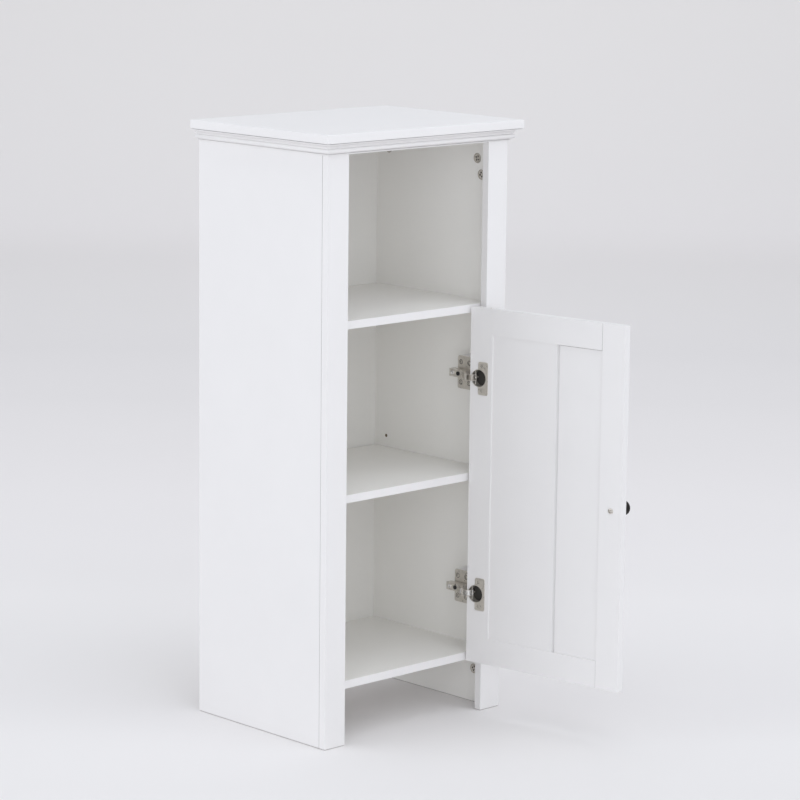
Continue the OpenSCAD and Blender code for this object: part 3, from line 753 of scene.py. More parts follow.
def moulding_tree() -> NodeTree:
    """Tree for a run of crown moulding: a section drawn out and cut at its ends on the mitre.

    Returns:
        The node tree.
    """
    t = GrowTree("moulding run")
    length = t.size("Length")
    first = t.size("First mitre", 0.0)
    last = t.size("Last mitre", 0.0)
    finish = t.size("Finish", kind="Material")
    # The section drawn out along the run, closed at its first end
    section = t.given.outputs["Geometry"]
    drawn = t.node("GeometryNodeExtrudeMesh", {"Mesh": section, "Offset": t.join(0.0, length, 0.0),
                                              "Offset Scale": 1.0, "Individual": False}, mode="FACES").outputs[0]
    back = t.node("GeometryNodeFlipFaces", {"Mesh": section}).outputs[0]
    run = t.node("GeometryNodeJoinGeometry", {0: [back, drawn]}).outputs[0]
    run = t.node("GeometryNodeMergeByDistance", {"Geometry": run, "Distance": WELD}).outputs[0]
    x, y, z = t.split()
    # The ends run on with the distance outwards, for the mitre
    far = t.math("GREATER_THAN", y, t.math("MULTIPLY", length, 0.5))
    near = t.math("SUBTRACT", 1.0, far)
    shift = t.math("SUBTRACT", t.math("MULTIPLY", t.math("MULTIPLY", far, last), x),
                   t.math("MULTIPLY", t.math("MULTIPLY", near, first), x))
    run = t.move(run, t.join(x, t.math("ADD", y, shift), z))
    return t.close(t.finish(run, finish))


class Trees:
    """The Geometry Nodes trees that several pieces share, each built once."""

    fastener: NodeTree = fastener_tree()
    pin: NodeTree = turned_pin_tree()
    moulding: NodeTree = moulding_tree()


# Mesh helpers


def baked(holder: Object) -> Mesh:
    """Turn an object with its modifiers into a plain mesh and drop the object.

    Args:
        holder: The object.

    Returns:
        The plain mesh.
    """
    graph = bpy.context.evaluated_depsgraph_get()
    graph.update()
    mesh = bpy.data.meshes.new_from_object(holder.evaluated_get(graph), depsgraph=graph)
    bpy.data.objects.remove(holder)
    return mesh


def hold(name: str, mesh: Mesh) -> Object:
    """Put a mesh in the scene.

    Args:
        name: The object's name.
        mesh: The mesh.

    Returns:
        The object.
    """
    holder = bpy.data.objects.new(name, mesh)
    bpy.context.scene.collection.objects.link(holder)
    return holder


def grow(name: str, tree: NodeTree, base: Mesh, sizes: dict[str, object], ease: float = 0.0) -> Mesh:
    """Run a Geometry Nodes tree on a mesh.

    Args:
        name: The piece's name.
        tree: The tree.
        base: The mesh that it starts from.
        sizes: A value for each named input.
        ease: Width of the eased edges in metres.

    Returns:
        The grown mesh.
    """
    holder = hold(name, base)
    step = holder.modifiers.new("grow", "NODES")
    step.node_group = tree
    for item in tree.interface.items_tree:
        if item.item_type == "SOCKET" and item.in_out == "INPUT" and item.name in sizes:
            step[item.identifier] = sizes[item.name]
    if ease:
        add_easing(holder, ease)
    mesh = baked(holder)
    mesh.shade_smooth()
    if not ease:
        mesh.set_sharp_from_angle(angle=math.radians(SHARP_ABOVE))
    return mesh


def points(name: str, places: list[Vector]) -> Mesh:
    """Make a mesh of loose points.

    Args:
        name: The mesh's name.
        places: The points.

    Returns:
        The mesh.
    """
    mesh = bpy.data.meshes.new(name)
    mesh.from_pydata([tuple(p) for p in places], [], [])
    return mesh


def add_easing(holder: Object, width: float) -> None:
    """Add modifiers that round the sharp edges and keep the broad faces flat.

    Args:
        holder: The object.
        width: Width of the rounding in metres.
    """
    holder.data.shade_smooth()
    bevel = holder.modifiers.new("eased edges", "BEVEL")
    bevel.width = width
    bevel.segments = EASE_STEPS
    bevel.limit_method = "ANGLE"
    bevel.angle_limit = math.radians(EASED_ABOVE)
    bevel.use_clamp_overlap = True
    even = holder.modifiers.new("flat faces", "WEIGHTED_NORMAL")
    even.mode = "FACE_AREA_WITH_ANGLE"
    even.weight = 100
    even.keep_sharp = True


def joined(name: str, meshes: list[Mesh]) -> Mesh:
    """Join meshes into one and keep their materials.

    Args:
        name: The new mesh's name.
        meshes: The meshes.

    Returns:
        The joined mesh.
    """
    whole = bpy.data.meshes.new(name)
    work = bmesh.new()
    for mesh in meshes:
        first, done = len(whole.materials), len(work.faces)
        for material in mesh.materials:
            whole.materials.append(material)
        work.from_mesh(mesh)
        work.faces.ensure_lookup_table()
        for face in work.faces[done:]:
            face.material_index += first
    work.to_mesh(whole)
    work.free()
    whole.shade_smooth()
    whole.set_sharp_from_angle(angle=math.radians(SHARP_ABOVE))
    return whole


def settle(name: str, mesh: Mesh, body: str, *nodes: str) -> Object:
    """Put a finished piece on its body in place of the parts that it stands for.

    Args:
        name: The piece's name.
        mesh: Its mesh.
        body: The body that it rides on.
        nodes: The parts that it replaces.

    Returns:
        The piece.
    """
    mesh.name = name
    piece = hold(name, mesh)
    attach(piece, body)
    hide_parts(*nodes)
    LOG.info("%s stands for %s, %d faces", name, ", ".join(nodes), len(mesh.polygons))
    return piece


@dataclass(frozen=True)
class Cut:
    """Which faces of a board are cut or worked and get a finish of their own."""

    finish: Material
    picks: Callable[[Vector, Vector], bool]


def solid_mesh(node: str) -> Mesh:
    """Copy a part's solid with its doubles merged and its flat faces whole.

    Args:
        node: The node of the solid.

    Returns:
        The copy.
    """
    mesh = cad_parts[node].data.copy()
    work = bmesh.new()
    work.from_mesh(mesh)
    bmesh.ops.remove_doubles(work, verts=work.verts, dist=WELD)
    bmesh.ops.dissolve_limit(work, angle_limit=math.radians(FLAT_WITHIN), verts=work.verts, edges=work.edges)
    work.to_mesh(mesh)
    work.free()
    return mesh


@dataclass(frozen=True)
class Joint:
    """An open joint, cut into a board as a thin straight slot; places in millimetres."""

    low: tuple[float, float, float]
    high: tuple[float, float, float]
    on_door: bool = False

    def corner(self, number: int) -> Vector:
        """Give one of the slot's eight corners."""
        place = [(self.low, self.high)[number >> axis & 1][axis] for axis in range(3)]
        return DOOR.place(*place) if self.on_door else at(*place)


def cut_joints(holder: Object, joints: tuple[Joint, ...], finish: Material) -> None:
    """Cut open joints into a board.

    Args:
        holder: The board.
        joints: The joints.
        finish: The finish of their walls, a grey that is painted shade.
    """
    work = bmesh.new()
    for joint in joints:
        corners = [work.verts.new(joint.corner(n)) for n in range(8)]
        for face in ((0, 1, 3, 2), (4, 6, 7, 5), (0, 4, 5, 1), (2, 3, 7, 6), (0, 2, 6, 4), (1, 5, 7, 3)):
            work.faces.new([corners[n] for n in face])
    bmesh.ops.recalc_face_normals(work, faces=work.faces)
    mesh = bpy.data.meshes.new("joint_cutter")
    work.to_mesh(mesh)
    work.free()
    mesh.materials.append(finish)
    cutter = hold("joint_cutter", mesh)
    step = holder.modifiers.new("open joints", "BOOLEAN")
    step.operation = "DIFFERENCE"
    step.solver = "EXACT"
    step.material_mode = "TRANSFER"
    step.object = cutter
    graph = bpy.context.evaluated_depsgraph_get()
    graph.update()
    cut = bpy.data.meshes.new_from_object(holder.evaluated_get(graph), depsgraph=graph)
    holder.modifiers.remove(step)
    holder.data = cut
    bpy.data.objects.remove(cutter)


def undercut(mesh: Mesh, width: float, slot: int) -> None:
    """Chamfer the edges of a board where it stands on the floor.

    Args:
        mesh: The board.
        width: Width of the chamfer in metres.
        slot: Material slot of the chamfer, or -1 for that of the faces beside it.
    """
    work = bmesh.new()
    work.from_mesh(mesh)
    feet = [edge for edge in work.edges if all(v.co.z < ON_FLOOR for v in edge.verts)]
    bmesh.ops.bevel(work, geom=feet, offset=width, segments=1, affect="EDGES", clamp_overlap=True, material=slot)
    work.to_mesh(mesh)
    work.free()


def eased_copy(node: str, name: str, width: float, body: str, finish: Material,
               cuts: tuple[Cut, ...] = (), joints: tuple[Joint, ...] = (),
               seam: Material | None = None) -> Object:
    """Copy a part's solid, ease its sharp edges and let the copy stand for it.

    Args:
        node: The node of the solid.
        name: The new piece's name.
        width: Width of the eased edge in metres.
        body: The body that it rides on.
        finish: Its material.
        cuts: Faces with a finish of their own.
        joints: Open joints to cut into it.
        seam: The grey finish of their walls, and of the chamfer at a foot, as painted shade.

    Returns:
        The new piece.
    """
    mesh = solid_mesh(node)
    mesh.materials.clear()
    mesh.materials.append(finish)
    for number, cut in enumerate(cuts, 1):
        mesh.materials.append(cut.finish)
        for face in mesh.polygons:
            if cut.picks(face.center, face.normal):
                face.material_index = number
    # The chamfer at a foot gets the seam grey as painted shade
    if min(v.co.z for v in mesh.vertices) < ON_FLOOR:
        if seam:
            mesh.materials.append(seam)
        undercut(mesh, FOOT_CHAMFER, len(mesh.materials) - 1 if seam else -1)
    holder = hold(name, mesh)
    if joints:
        cut_joints(holder, joints, seam)
    add_easing(holder, width)
    return settle(name, baked(holder), body, node)


def bores(node: str, finish: Material) -> Cut:
    """Pick the walls of the bores and grooves of a board.

    Args:
        node: The board's node.
        finish: The finish of the bare board.

    Returns:
        The cut.
    """
    low, high = (Vector(corner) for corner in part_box(node))

    def inside(center: Vector, _normal: Vector) -> bool:
        """Tell whether a face lies inside the board."""
        return all(low[i] + BORE_DEPTH < center[i] < high[i] - BORE_DEPTH for i in range(3))

    return Cut(finish, inside)


@dataclass
class Carcass:
    """The white boards that stand still: sides, stiles, shelves, back and top."""

    finishes: Finishes
    ease: float = 0.0005
    shelf_ease: float = 0.0004
    back_ease: float = 0.0003
    outer: tuple[str, ...] = ("top_slab", "left_side_panel", "right_side_panel", "left_stile", "right_stile")
    inner: tuple[str, ...] = ("upper_shelf", "middle_shelf", "bottom_board")
    blocks: tuple[str, ...] = ("upper_hinge_block", "lower_hinge_block")
    seams: dict[str, tuple[Joint, ...]] = field(default_factory=lambda: {
        "left_side_panel": (Joint((-181.0, 11.0, -1.0), (-176.0, 12.6, 869.0)),),
        "right_side_panel": (Joint((176.0, 11.0, -1.0), (181.0, 12.6, 869.0)),)})

    def inward(self, node: str) -> Cut:
        """Pick the faces of a board that look into the cabinet.

        Args:
            node: The board's node.

        Returns:
            The cut with the inner paint, which is the white paint made lighter as painted light.
        """
        sides = {"left_side_panel": Vector((1, 0, 0)), "right_side_panel": Vector((-1, 0, 0))}

        def inside(_center: Vector, normal: Vector) -> bool:
            """Tell whether a face looks into the cabinet.

            Args:
                _center: The middle of the face, which isn't needed.
                normal: The way that it faces.

            Returns:
                True for such a face.
            """
            if node in sides:
                return normal.dot(sides[node]) > FACING
            return node in self.inner and abs(normal.z) > FACING

        return Cut(self.finishes.inner, inside)

    def board(self, node: str, width: float) -> None:
        """Make one painted board with bare walls in its bores.

        Args:
            node: The board's node.
            width: Width of its eased edges in metres.
        """
        eased_copy(node, node + "_painted", width, Body.CABINET.value, self.finishes.paint,
                   (self.inward(node), bores(node, self.finishes.fibre)), joints=self.seams.get(node, ()),
                   seam=self.finishes.seam)

    def build(self) -> None:
        """Make every board of the carcass."""
        for node in self.outer:
            self.board(node, self.ease)
        for node in self.inner + self.blocks + ("crown_back_rail",):
            self.board(node, self.shelf_ease)
        eased_copy("back_panel", "back_panel_sheet", self.back_ease, Body.CABINET.value, self.finishes.back)


@dataclass
class Crown:
    """The crown moulding under the top, in three runs that meet on mitres."""

    finishes: Finishes
    half: float = 180.0
    depth: float = 282.5
    foot_z: float = 869.0
    height: float = 18.0
    bar: float = 30.0
    top_out: float = 16.0
    cove_low: float = 9.8
    fillet: float = 1.6
    gap: float = 0.55
    bead: tuple[float, float] = (3.8, 3.6)
    ease: float = 0.0002

    def section(self) -> list[tuple[float, float]]:
        """Give the moulding's section as distance out and height, in millimetres.

        Returns:
            The section's points.
        """
        low = [(2.4, 0.0), (2.4, 1.5), (3.6, 1.8), (1.9, 1.9), (1.9, 2.55)]
        bead = [(4.6 + self.bead[0] * math.cos(a), 6.1 + self.bead[1] * math.sin(a))
                for a in (math.radians(d) for d in range(-80, 81, 10))]
        wide, tall = self.top_out - 7.4, self.height - self.fillet - self.cove_low
        cove = [(self.top_out - 1.0 - wide * math.cos(a), self.cove_low + tall * math.sin(a))
                for a in (math.radians(d) for d in range(0, 91, 6))]
        top = [(self.top_out, self.height - self.fillet), (self.top_out, self.height - self.gap),
               (0.0, self.height - self.gap), (0.0, self.height)]
        return [(-self.bar, 0.0)] + low + bead + cove + top + [(-self.bar, self.height)]

    def run(self, name: str, length: float, mitres: tuple[float, float], place: Matrix, node: str) -> None:
        """Make one run.

        Args:
            name: The piece's name.
            length: Its length along the body's face in millimetres.
            mitres: How far each end runs on for each step outwards.
            place: Where the run stands.
            node: The part that it replaces.
        """
        base = bpy.data.meshes.new(name)
        outline = [(out * MM, 0.0, up * MM) for out, up in self.section()]
        base.from_pydata(outline, [], [list(range(len(outline)))[::-1]])
        mesh = grow(name, Trees.moulding, base, {
            "Length": length * MM, "First mitre": mitres[0], "Last mitre": mitres[1], "Finish": self.finishes.paint},
            self.ease)
        mesh.transform(place)
        if place.determinant() < 0:
            mesh.flip_normals()
        settle(name, mesh, Body.CABINET.value, node)

    def build(self) -> None:
        """Make the front run and both side runs."""
        corner = at(self.half, 0.0, self.foot_z)
        front = Matrix(((0, -1, 0, corner.x), (-1, 0, 0, corner.y), (0, 0, 1, corner.z), (0, 0, 0, 1)))
        self.run("crown_front_run", 2 * self.half, (1.0, 1.0), front, "crown_front")
        for node, side in (("crown_right", 1), ("crown_left", -1)):
            place = Matrix(((side, 0, 0, side * corner.x), (0, 1, 0, corner.y), (0, 0, 1, corner.z), (0, 0, 0, 1)))
            self.run(f"{node}_run", self.depth, (1.0, 0.0), place, node)


@dataclass
class Fittings:
    """Cams, bolts, dowels and shelf pins in the boards."""

    finishes: Finishes
    cam_r: float = 7.2
    cam_deep: float = 9.0
    panel_in: float = 168.0
    crown_cams: tuple[tuple[float, float], ...] = ((51.0, 839.0), (243.0, 839.0))
    stile_cams: tuple[tuple[float, float], ...] = ((42.0, 53.0), (42.0, 815.0))
    shelf_undersides: tuple[float, ...] = (614.3, 80.7)
    shelf_cam_ys: tuple[float, ...] = (54.0, 228.9)
    shelf_cam_in: float = 24.0
    pin_ys: tuple[float, ...] = (52.0, 242.9)
    pin_z: float = 356.1
    pin_x: float = 168.25
    dowel_ys: tuple[float, ...] = (86.5, 196.9)
    dowel_x: float = 166.0
    half_board: float = 6.0
    bolt_ease: float = 0.0002

    def cams(self, places: list[Vector], facing: tuple[float, float, float], seed: int) -> Mesh:
        """Make cams that face one way.

        Args:
            places: Where their faces are.
            facing: The way that they face.
            seed: The seed of their turns.

        Returns:
            The cams.
        """
        # Their cross recesses get near-black steel as painted shade
        return grow("cams", Trees.fastener, points("cams", places), {
            "Head radius": self.cam_r * MM, "Head height": self.cam_deep * MM, "Shank radius": 2 * MM,
            "Shank length": self.cam_deep * MM - MM, "Recess length": 8.6 * MM, "Recess width": 2.5 * MM,
            "Recess depth": 3 * MM, "Facing": facing, "Seed": seed, "Finish": self.finishes.nickel,
            "Recess shade": self.finishes.shade})

    def build(self) -> None:
        """Make the fittings."""
        sides = [self.cams([at(side * self.panel_in, y, z) for y, z in self.crown_cams + self.stile_cams],
                           (-side, 0.0, 0.0), 3 + side) for side in (-1, 1)]
        settle("side_cam_discs", joined("side_cam_discs", sides), Body.CABINET.value, "side_cams")
        under = [at(side * (self.panel_in - self.shelf_cam_in), y, z)
                 for side in (-1, 1) for z in self.shelf_undersides for y in self.shelf_cam_ys]
        settle("shelf_cam_discs", self.cams(under, (0.0, 0.0, -1.0), 9), Body.CABINET.value, "shelf_cams")
        pins = [grow("pins", Trees.pin, points("pins", [at(side * self.pin_x, y, self.pin_z) for y in self.pin_ys]), {
            "Radius": 2.5 * MM, "Length": 16.5 * MM, "Rounded ends": 0.5 * MM, "Collar radius": 4 * MM,
            "Collar height": 0.35 * MM, "Collar place": 0.425 * MM, "Facing": (-side, 0.0, 0.0),
            "Finish": self.finishes.zinc}) for side in (-1, 1)]
        settle("shelf_pin_set", joined("shelf_pin_set", pins), Body.CABINET.value, "shelf_pins")
        dowels = [at(side * self.dowel_x, y, z + self.half_board)
                  for side in (-1, 1) for z in self.shelf_undersides for y in self.dowel_ys]
        settle("dowel_set", grow("dowel_set", Trees.pin, points("dowels", dowels), {
            "Radius": 4 * MM, "Length": 28 * MM, "Rounded ends": 0.8 * MM, "Facing": (1.0, 0.0, 0.0),
            "Finish": self.finishes.birch}), Body.CABINET.value, "shelf_dowels")
        for node in ("crown_cam_bolts", "stile_cam_bolts", "shelf_cam_bolts"):
            eased_copy(node, f"{node}_turned", self.bolt_ease, Body.CABINET.value, self.finishes.zinc)


@dataclass
class Door:
    """The framed door with its two panel boards."""

    finishes: Finishes
    ease: float = 0.0005
    board_ease: float = 0.0003
    stile_outside: float = 137.0
    groove_x: tuple[float, float] = (-25.3, -18.2)
    groove_edge: float = 1.2
    # A slope beside the groove has less than these shares of depth and width in its normal
    slope_deep: float = 0.999
    slope_wide: float = 0.1
    board_y: float = 9.0
    board_rise: float = 1.6
    board_skin: float = 0.35
    # Walls of a stile's bores lie beside the groove that holds the panel, or behind its floor
    panel_groove: tuple[float, float] = (2.9, 9.1)
    beside_x: float = 101.0
    beside_y: tuple[float, float] = (0.8, 11.2)
    beside_z: tuple[float, float] = (83.0, 622.0)
    behind_x: float = 102.5
    behind_y: tuple[float, float] = (2.0, 10.0)
    behind_z: tuple[float, float] = (130.0, 575.0)
    rail_seams: tuple[Joint, ...] = (
        Joint((-99.5, 11.3, 583.0), (-98.6, 13.0, 626.0), True), Joint((-99.5, 11.5, 80.0), (-98.8, 13.0, 122.0), True))
    board_seams: tuple[Joint, ...] = (
        Joint((-99.2, 6.9, 583.3), (-22.4, 9.5, 584.4), True),)

    def in_groove(self, center: Vector, normal: Vector) -> bool:
        """Tell whether a face lies in the groove between the boards or on a slope beside it; these faces get grey paint
        as painted shade.

        Args:
            center: The middle of the face.
            normal: The way that it faces.

        Returns:
            True for such a face.
        """
        x, _, _ = DOOR.closed(center)
        deep, wide = DOOR.way(0.0, 1.0, 0.0).dot(normal), DOOR.way(1.0, 0.0, 0.0).dot(normal)
        slanted = abs(deep) < self.slope_deep and wide < self.slope_wide
        return within(x, self.groove_x) and (slanted or x < self.groove_x[1] - self.groove_edge)

    def in_bore(self, center: Vector, _normal: Vector) -> bool:
        """Tell whether a face is the wall of a bore in a stile.

        Args:
            center: The middle of the face.
            _normal: The way that it faces, which isn't needed.

        Returns:
            True for such a face.
        """
        x, y, z = DOOR.closed(center)
        x = abs(x)
        skin = within(y, self.beside_y) and not within(y, self.panel_groove)
        beside = skin and self.beside_x < x and within(z, self.beside_z)
        behind = within(y, self.behind_y) and self.behind_x < x and within(z, self.behind_z)
        return x < self.stile_outside and (beside or behind)

    def board(self, node: str, width: float, cuts: tuple[Cut, ...] = (),
              joints: tuple[Joint, ...] = ()) -> Object:
        """Make one painted board of the door.

        Args:
            node: The board's node.
            width: Width of its eased edges in metres.
            cuts: Faces with a finish of their own.
            joints: Open joints to cut into it.

        Returns:
            The board.
        """
        return eased_copy(node, node + "_painted", width, Body.DOOR.value, self.finishes.paint, cuts,
                          joints=joints, seam=self.finishes.seam)

    def build(self) -> None:
        """Make the door's boards."""
        for node in ("door_hinge_stile", "door_free_stile"):
            self.board(node, self.ease, (Cut(self.finishes.fibre, self.in_bore),))
        for node in ("door_top_rail", "door_bottom_rail"):
            self.board(node, self.ease, joints=self.rail_seams)
        wide = self.board("door_panel_wide", self.board_ease, (Cut(self.finishes.groove, self.in_groove),))
        for vertex in wide.data.vertices:
            if DOOR.closed(vertex.co)[1] > self.board_y - self.board_skin:
                vertex.co += DOOR.way(0.0, self.board_rise * MM, 0.0)
        self.board("door_panel_narrow", self.board_ease, joints=self.board_seams)


@dataclass
class Knob:
    """The turned knob on the front of the door and the screw that holds it."""

    finishes: Finishes
    x: float = -120.0
    z: float = 350.15
    long: float = 27.0
    head_r: float = 11.4
    stem_r: float = 5.5
    screw_y: float = 13.6
    steps: int = 72
    sharp_above: float = 38.0

    def outline(self) -> list[tuple[float, float]]:
        """Give the knob's outline as radius and distance from the door, in millimetres.

        Returns:
            The outline's points.
        """
        foot = [(0.0, 0.0), (self.stem_r + 2.0, 0.0), (self.stem_r + 2.2, 0.2), (self.stem_r + 2.2, 1.4),
                (self.stem_r + 1.9, 1.7), (self.stem_r + 0.6, 2.6)]
        stem = [(self.stem_r - 1.1 + 1.7 * (1 - math.sin(math.radians(a))), 3.2 + (self.long - 17.4) * a / 90)
                for a in range(0, 91, 9)]
        collar = [(self.stem_r - 0.6, self.long - 13.6), (self.stem_r + 1.3, self.long - 12.5),
                  (self.stem_r + 1.5, self.long - 12.1), (self.head_r - 1.6, self.long - 9.8)]
        rim = self.head_r - 3.4
        head = [(rim * math.cos(max(a, 0.0)) + 3.4 * math.cos(a),
                 self.long - 6.6 + (6.6 if a > 0 else 3.2) * math.sin(a))
                for a in (math.radians(d) for d in range(-40, 91, 6))]
        return foot + stem + collar + head + [(0.0, self.long)]

    def turning(self) -> Mesh:
        """Turn the outline round the upright axis, as rings of points between two ends on the axis.

        Returns:
            The turned mesh.
        """
        foot, *rings, tip = self.outline()
        angles = [math.tau * n / self.steps for n in range(self.steps)]
        verts = [(0.0, 0.0, foot[1] * MM), (0.0, 0.0, tip[1] * MM)]
        verts += [(r * math.cos(a) * MM, r * math.sin(a) * MM, h * MM) for r, h in rings for a in angles]
        faces = []
        for n in range(self.steps):
            here, beside = 2 + n, 2 + (n + 1) % self.steps
            faces.append((0, beside, here))
            for _ in rings[1:]:
                faces.append((here, beside, beside + self.steps, here + self.steps))
                here, beside = here + self.steps, beside + self.steps
            faces.append((1, here, beside))
        mesh = bpy.data.meshes.new("knob_turning")
        mesh.from_pydata(verts, [], faces)
        return mesh

    def build(self) -> None:
        """Turn the knob and make its screw."""
        mesh = self.turning()
        turn = DOOR.way(0.0, -1.0, 0.0).to_track_quat("Z", "Y").to_matrix().to_4x4()
        mesh.transform(Matrix.Translation(DOOR.place(self.x, 0.0, self.z)) @ turn)
        mesh.materials.append(self.finishes.bronze)
        mesh.shade_smooth()
        mesh.set_sharp_from_angle(angle=math.radians(self.sharp_above))
        settle("knob_turning", mesh, Body.DOOR.value, "knob")
        place = points("knob_screw", [DOOR.place(self.x, self.screw_y, self.z)])
        # The screw's cross recess gets near-black steel as painted shade
        screw = grow("knob_screw_set", Trees.fastener, place, {
            "Head radius": 4 * MM, "Head height": 1.6 * MM, "Dome": 0.6 * MM, "Shank radius": 1.9 * MM,
            "Shank length": 26 * MM, "Recess length": 5.6 * MM, "Recess width": 1.5 * MM, "Recess depth": 1.2 * MM,
            "Facing": tuple(DOOR.way(0.0, 1.0, 0.0)), "Seed": 4, "Finish": self.finishes.nickel,
            "Recess shade": self.finishes.shade})
        settle("knob_screw_set", screw, Body.DOOR.value, "knob_screw")


@dataclass
class Hinges:
    """The two cup hinges: plates, arms, links, cups, pins and screws."""

    finishes: Finishes
    heights: dict[Side, float] = field(default_factory=lambda: {Side.UPPER: 517.8, Side.LOWER: 187.5})
    plate_ease: float = 0.0002
    link_ease: float = 0.00015
    plate_x: float = 139.0
    plate_ys: tuple[float, ...] = (33.0, 50.5)
    plate_dz: float = 15.5
    arm_x: float = 126.0
    arm_screw_ys: tuple[float, ...] = (55.0, 43.0)
    cup_x: float = 122.5
    cup_r: float = 12.2
    flange_y: float = 13.0
    cup_screw_dx: float = 5.0
    cup_screw_dz: float = 18.5
    cup_thinned: float = 0.55
    cup_near: float = 0.3
    cup_outside: float = 13.5
    cup_floor: float = 2.6
    # A cup's floor has more of the depth in its normal
    floor_facing: float = 0.5
    seat_reach: float = 4.0
    # A flat face of a plate has more of the width in its normal
    flat: float = 0.95
    plate_screw_in: float = 0.05
    arm_screw_in: float = 1.5
    arm_pin_long: float = 12.0
    cup_pin_long: float = 7.8
    arm_pivots: tuple[tuple[float, float], ...] = ((118.2, 21.8), (114.6, 16.29))

    def screws(self, name: str, places: list[Vector], facing: Vector, seed: int, finish: Material,
               **sizes: float) -> Mesh:
        """Make screws of one kind.

        Args:
            name: The mesh's name.
            places: Where their heads meet the surface.
            facing: The way that they face.
            seed: The seed of their turns.
            finish: Their material.
            sizes: Their sizes in millimetres, by the tree's input names with _ for a space.

        Returns:
            The screws.
        """
        # Their recesses get near-black steel as painted shade
        values = {key.replace("_", " "): value * MM for key, value in sizes.items() if key != "Taper"}
        values.update({"Taper": sizes.get("Taper", 0.0), "Facing": tuple(facing), "Seed": seed, "Finish": finish,
                       "Recess shade": self.finishes.shade})
        return grow(name, Trees.fastener, points(name, places), values)

    def pins(self, name: str, places: list[Vector], length: float) -> Mesh:
        """Make riveted hinge pins.

        Args:
            name: The mesh's name.
            places: The middles of the pins.
            length: Their length in millimetres.

        Returns:
            The pins.
        """
        return grow(name, Trees.pin, points(name, places), {
            "Radius": 0.9 * MM, "Length": length * MM, "Rounded ends": 0.15 * MM, "Facing": (0.0, 0.0, 1.0),
            "Finish": self.finishes.nickel})

    def widen(self, cup: Object) -> None:
        """Thin the cup's wall from inside, so the link has room when the door is fully open.

        Args:
            cup: The pressed cup.
        """
        for vertex in cup.data.vertices:
            x, _, z = DOOR.closed(vertex.co)
            z = min((z - h for h in self.heights.values()), key=abs)
            spread = math.hypot(x - self.cup_x, z)
            if abs(spread - self.cup_r) < self.cup_near:
                grow_by = self.cup_thinned / self.cup_r * MM
                vertex.co += DOOR.way((x - self.cup_x) * grow_by, 0.0, z * grow_by)

    def in_countersink(self, center: Vector, normal: Vector) -> bool:
        """Tell whether a face is the sunk seat of a plate screw, which gets near-black steel as painted shade.

        Args:
            center: The middle of the face.
            normal: The way that it faces.

        Returns:
            True for such a face.
        """
        y = (center.y - FRONT_Y) / MM
        near = any(math.hypot(y - py, abs(center.z / MM - h) - self.plate_dz) < self.seat_reach
                   for py in self.plate_ys for h in self.heights.values())
        return near and abs(normal.x) < self.flat

    def in_bowl(self, center: Vector, normal: Vector) -> bool:
        """Tell whether a face is the floor of a cup, which gets near-black steel as painted shade.

        Args:
            center: The middle of the face.
            normal: The way that it faces.

        Returns:
            True for such a face.
        """
        x, y, _ = DOOR.closed(center)
        z = min((center.z / MM - h for h in self.heights.values()), key=abs)
        inside = math.hypot(x - self.cup_x, z) < self.cup_outside and y < self.cup_floor
        return inside and DOOR.way(0.0, 1.0, 0.0).dot(normal) > self.floor_facing

    def pressing(self, side: Side, part: str, width: float, body: str, finish: Material,
                 cuts: tuple[Cut, ...] = ()) -> Object:
        """Make one pressed piece of a hinge.

        Args:
            side: Its hinge.
            part: The piece's name in its hinge.
            width: Width of its eased edges in metres.
            body: The body that it rides on.
            finish: Its material.
            cuts: Faces with a finish of their own.

        Returns:
            The piece.
        """
        node = f"{side.value}_{part}"
        return eased_copy(node, f"{node}_pressing", width, body, finish, cuts)

    def pressings(self, side: Side) -> None:
        """Make the plate, arm, cup and links of one hinge.

        Args:
            side: The hinge.
        """
        nickel, shade = self.finishes.nickel, self.finishes.shade
        fixed = Body.CABINET.value
        # The countersinks of the plate and the floor of the cup get near-black steel as painted shade
        self.pressing(side, "mounting_plate", self.plate_ease, fixed, nickel, (Cut(shade, self.in_countersink),))
        self.pressing(side, "hinge_arm", self.plate_ease, fixed, nickel)
        self.widen(self.pressing(side, "hinge_cup", self.link_ease, Body.DOOR.value, nickel,
                                 (Cut(shade, self.in_bowl),)))
        # The upper outer link gets nickel painted darker as painted shade, the lower one nickel painted lighter as a
        # painted highlight
        outer = self.finishes.link if side is Side.UPPER else self.finishes.bright
        for link, finish in (("outer_link", outer), ("inner_link", nickel)):
            self.pressing(side, link, self.link_ease, f"{side.value}_{link}_body", finish)

    def build(self) -> None:
        """Make both hinges with their screws and pins."""
        nickel, black = self.finishes.nickel, self.finishes.black
        fixed, door = Body.CABINET.value, Body.DOOR.value
        for side in Side:
            self.pressings(side)
        zs = tuple(self.heights.values())
        left = Vector((-1.0, 0.0, 0.0))
        plates = [at(self.plate_x - self.plate_screw_in, y, z + dz)
                  for z in zs for y in self.plate_ys for dz in (-self.plate_dz, self.plate_dz)]
        settle("plate_screw_set", self.screws(
            "plate_screw_set", plates, left, 5, nickel, Head_radius=3.1, Head_height=1.2, Dome=0.35, Taper=1.0,
            Shank_radius=1.7, Shank_length=13.0, Recess_length=4.4, Recess_width=1.2, Recess_depth=1.15),
            fixed, "plate_screws")
        pan = {"Head_radius": 3.2, "Head_height": 1.5, "Dome": 0.3, "Shank_radius": 1.7, "Shank_length": 9.0,
               "Recess_length": 3.6, "Recess_width": 2.5, "Recess_depth": 1.0}
        arm_x = self.arm_x - self.arm_screw_in
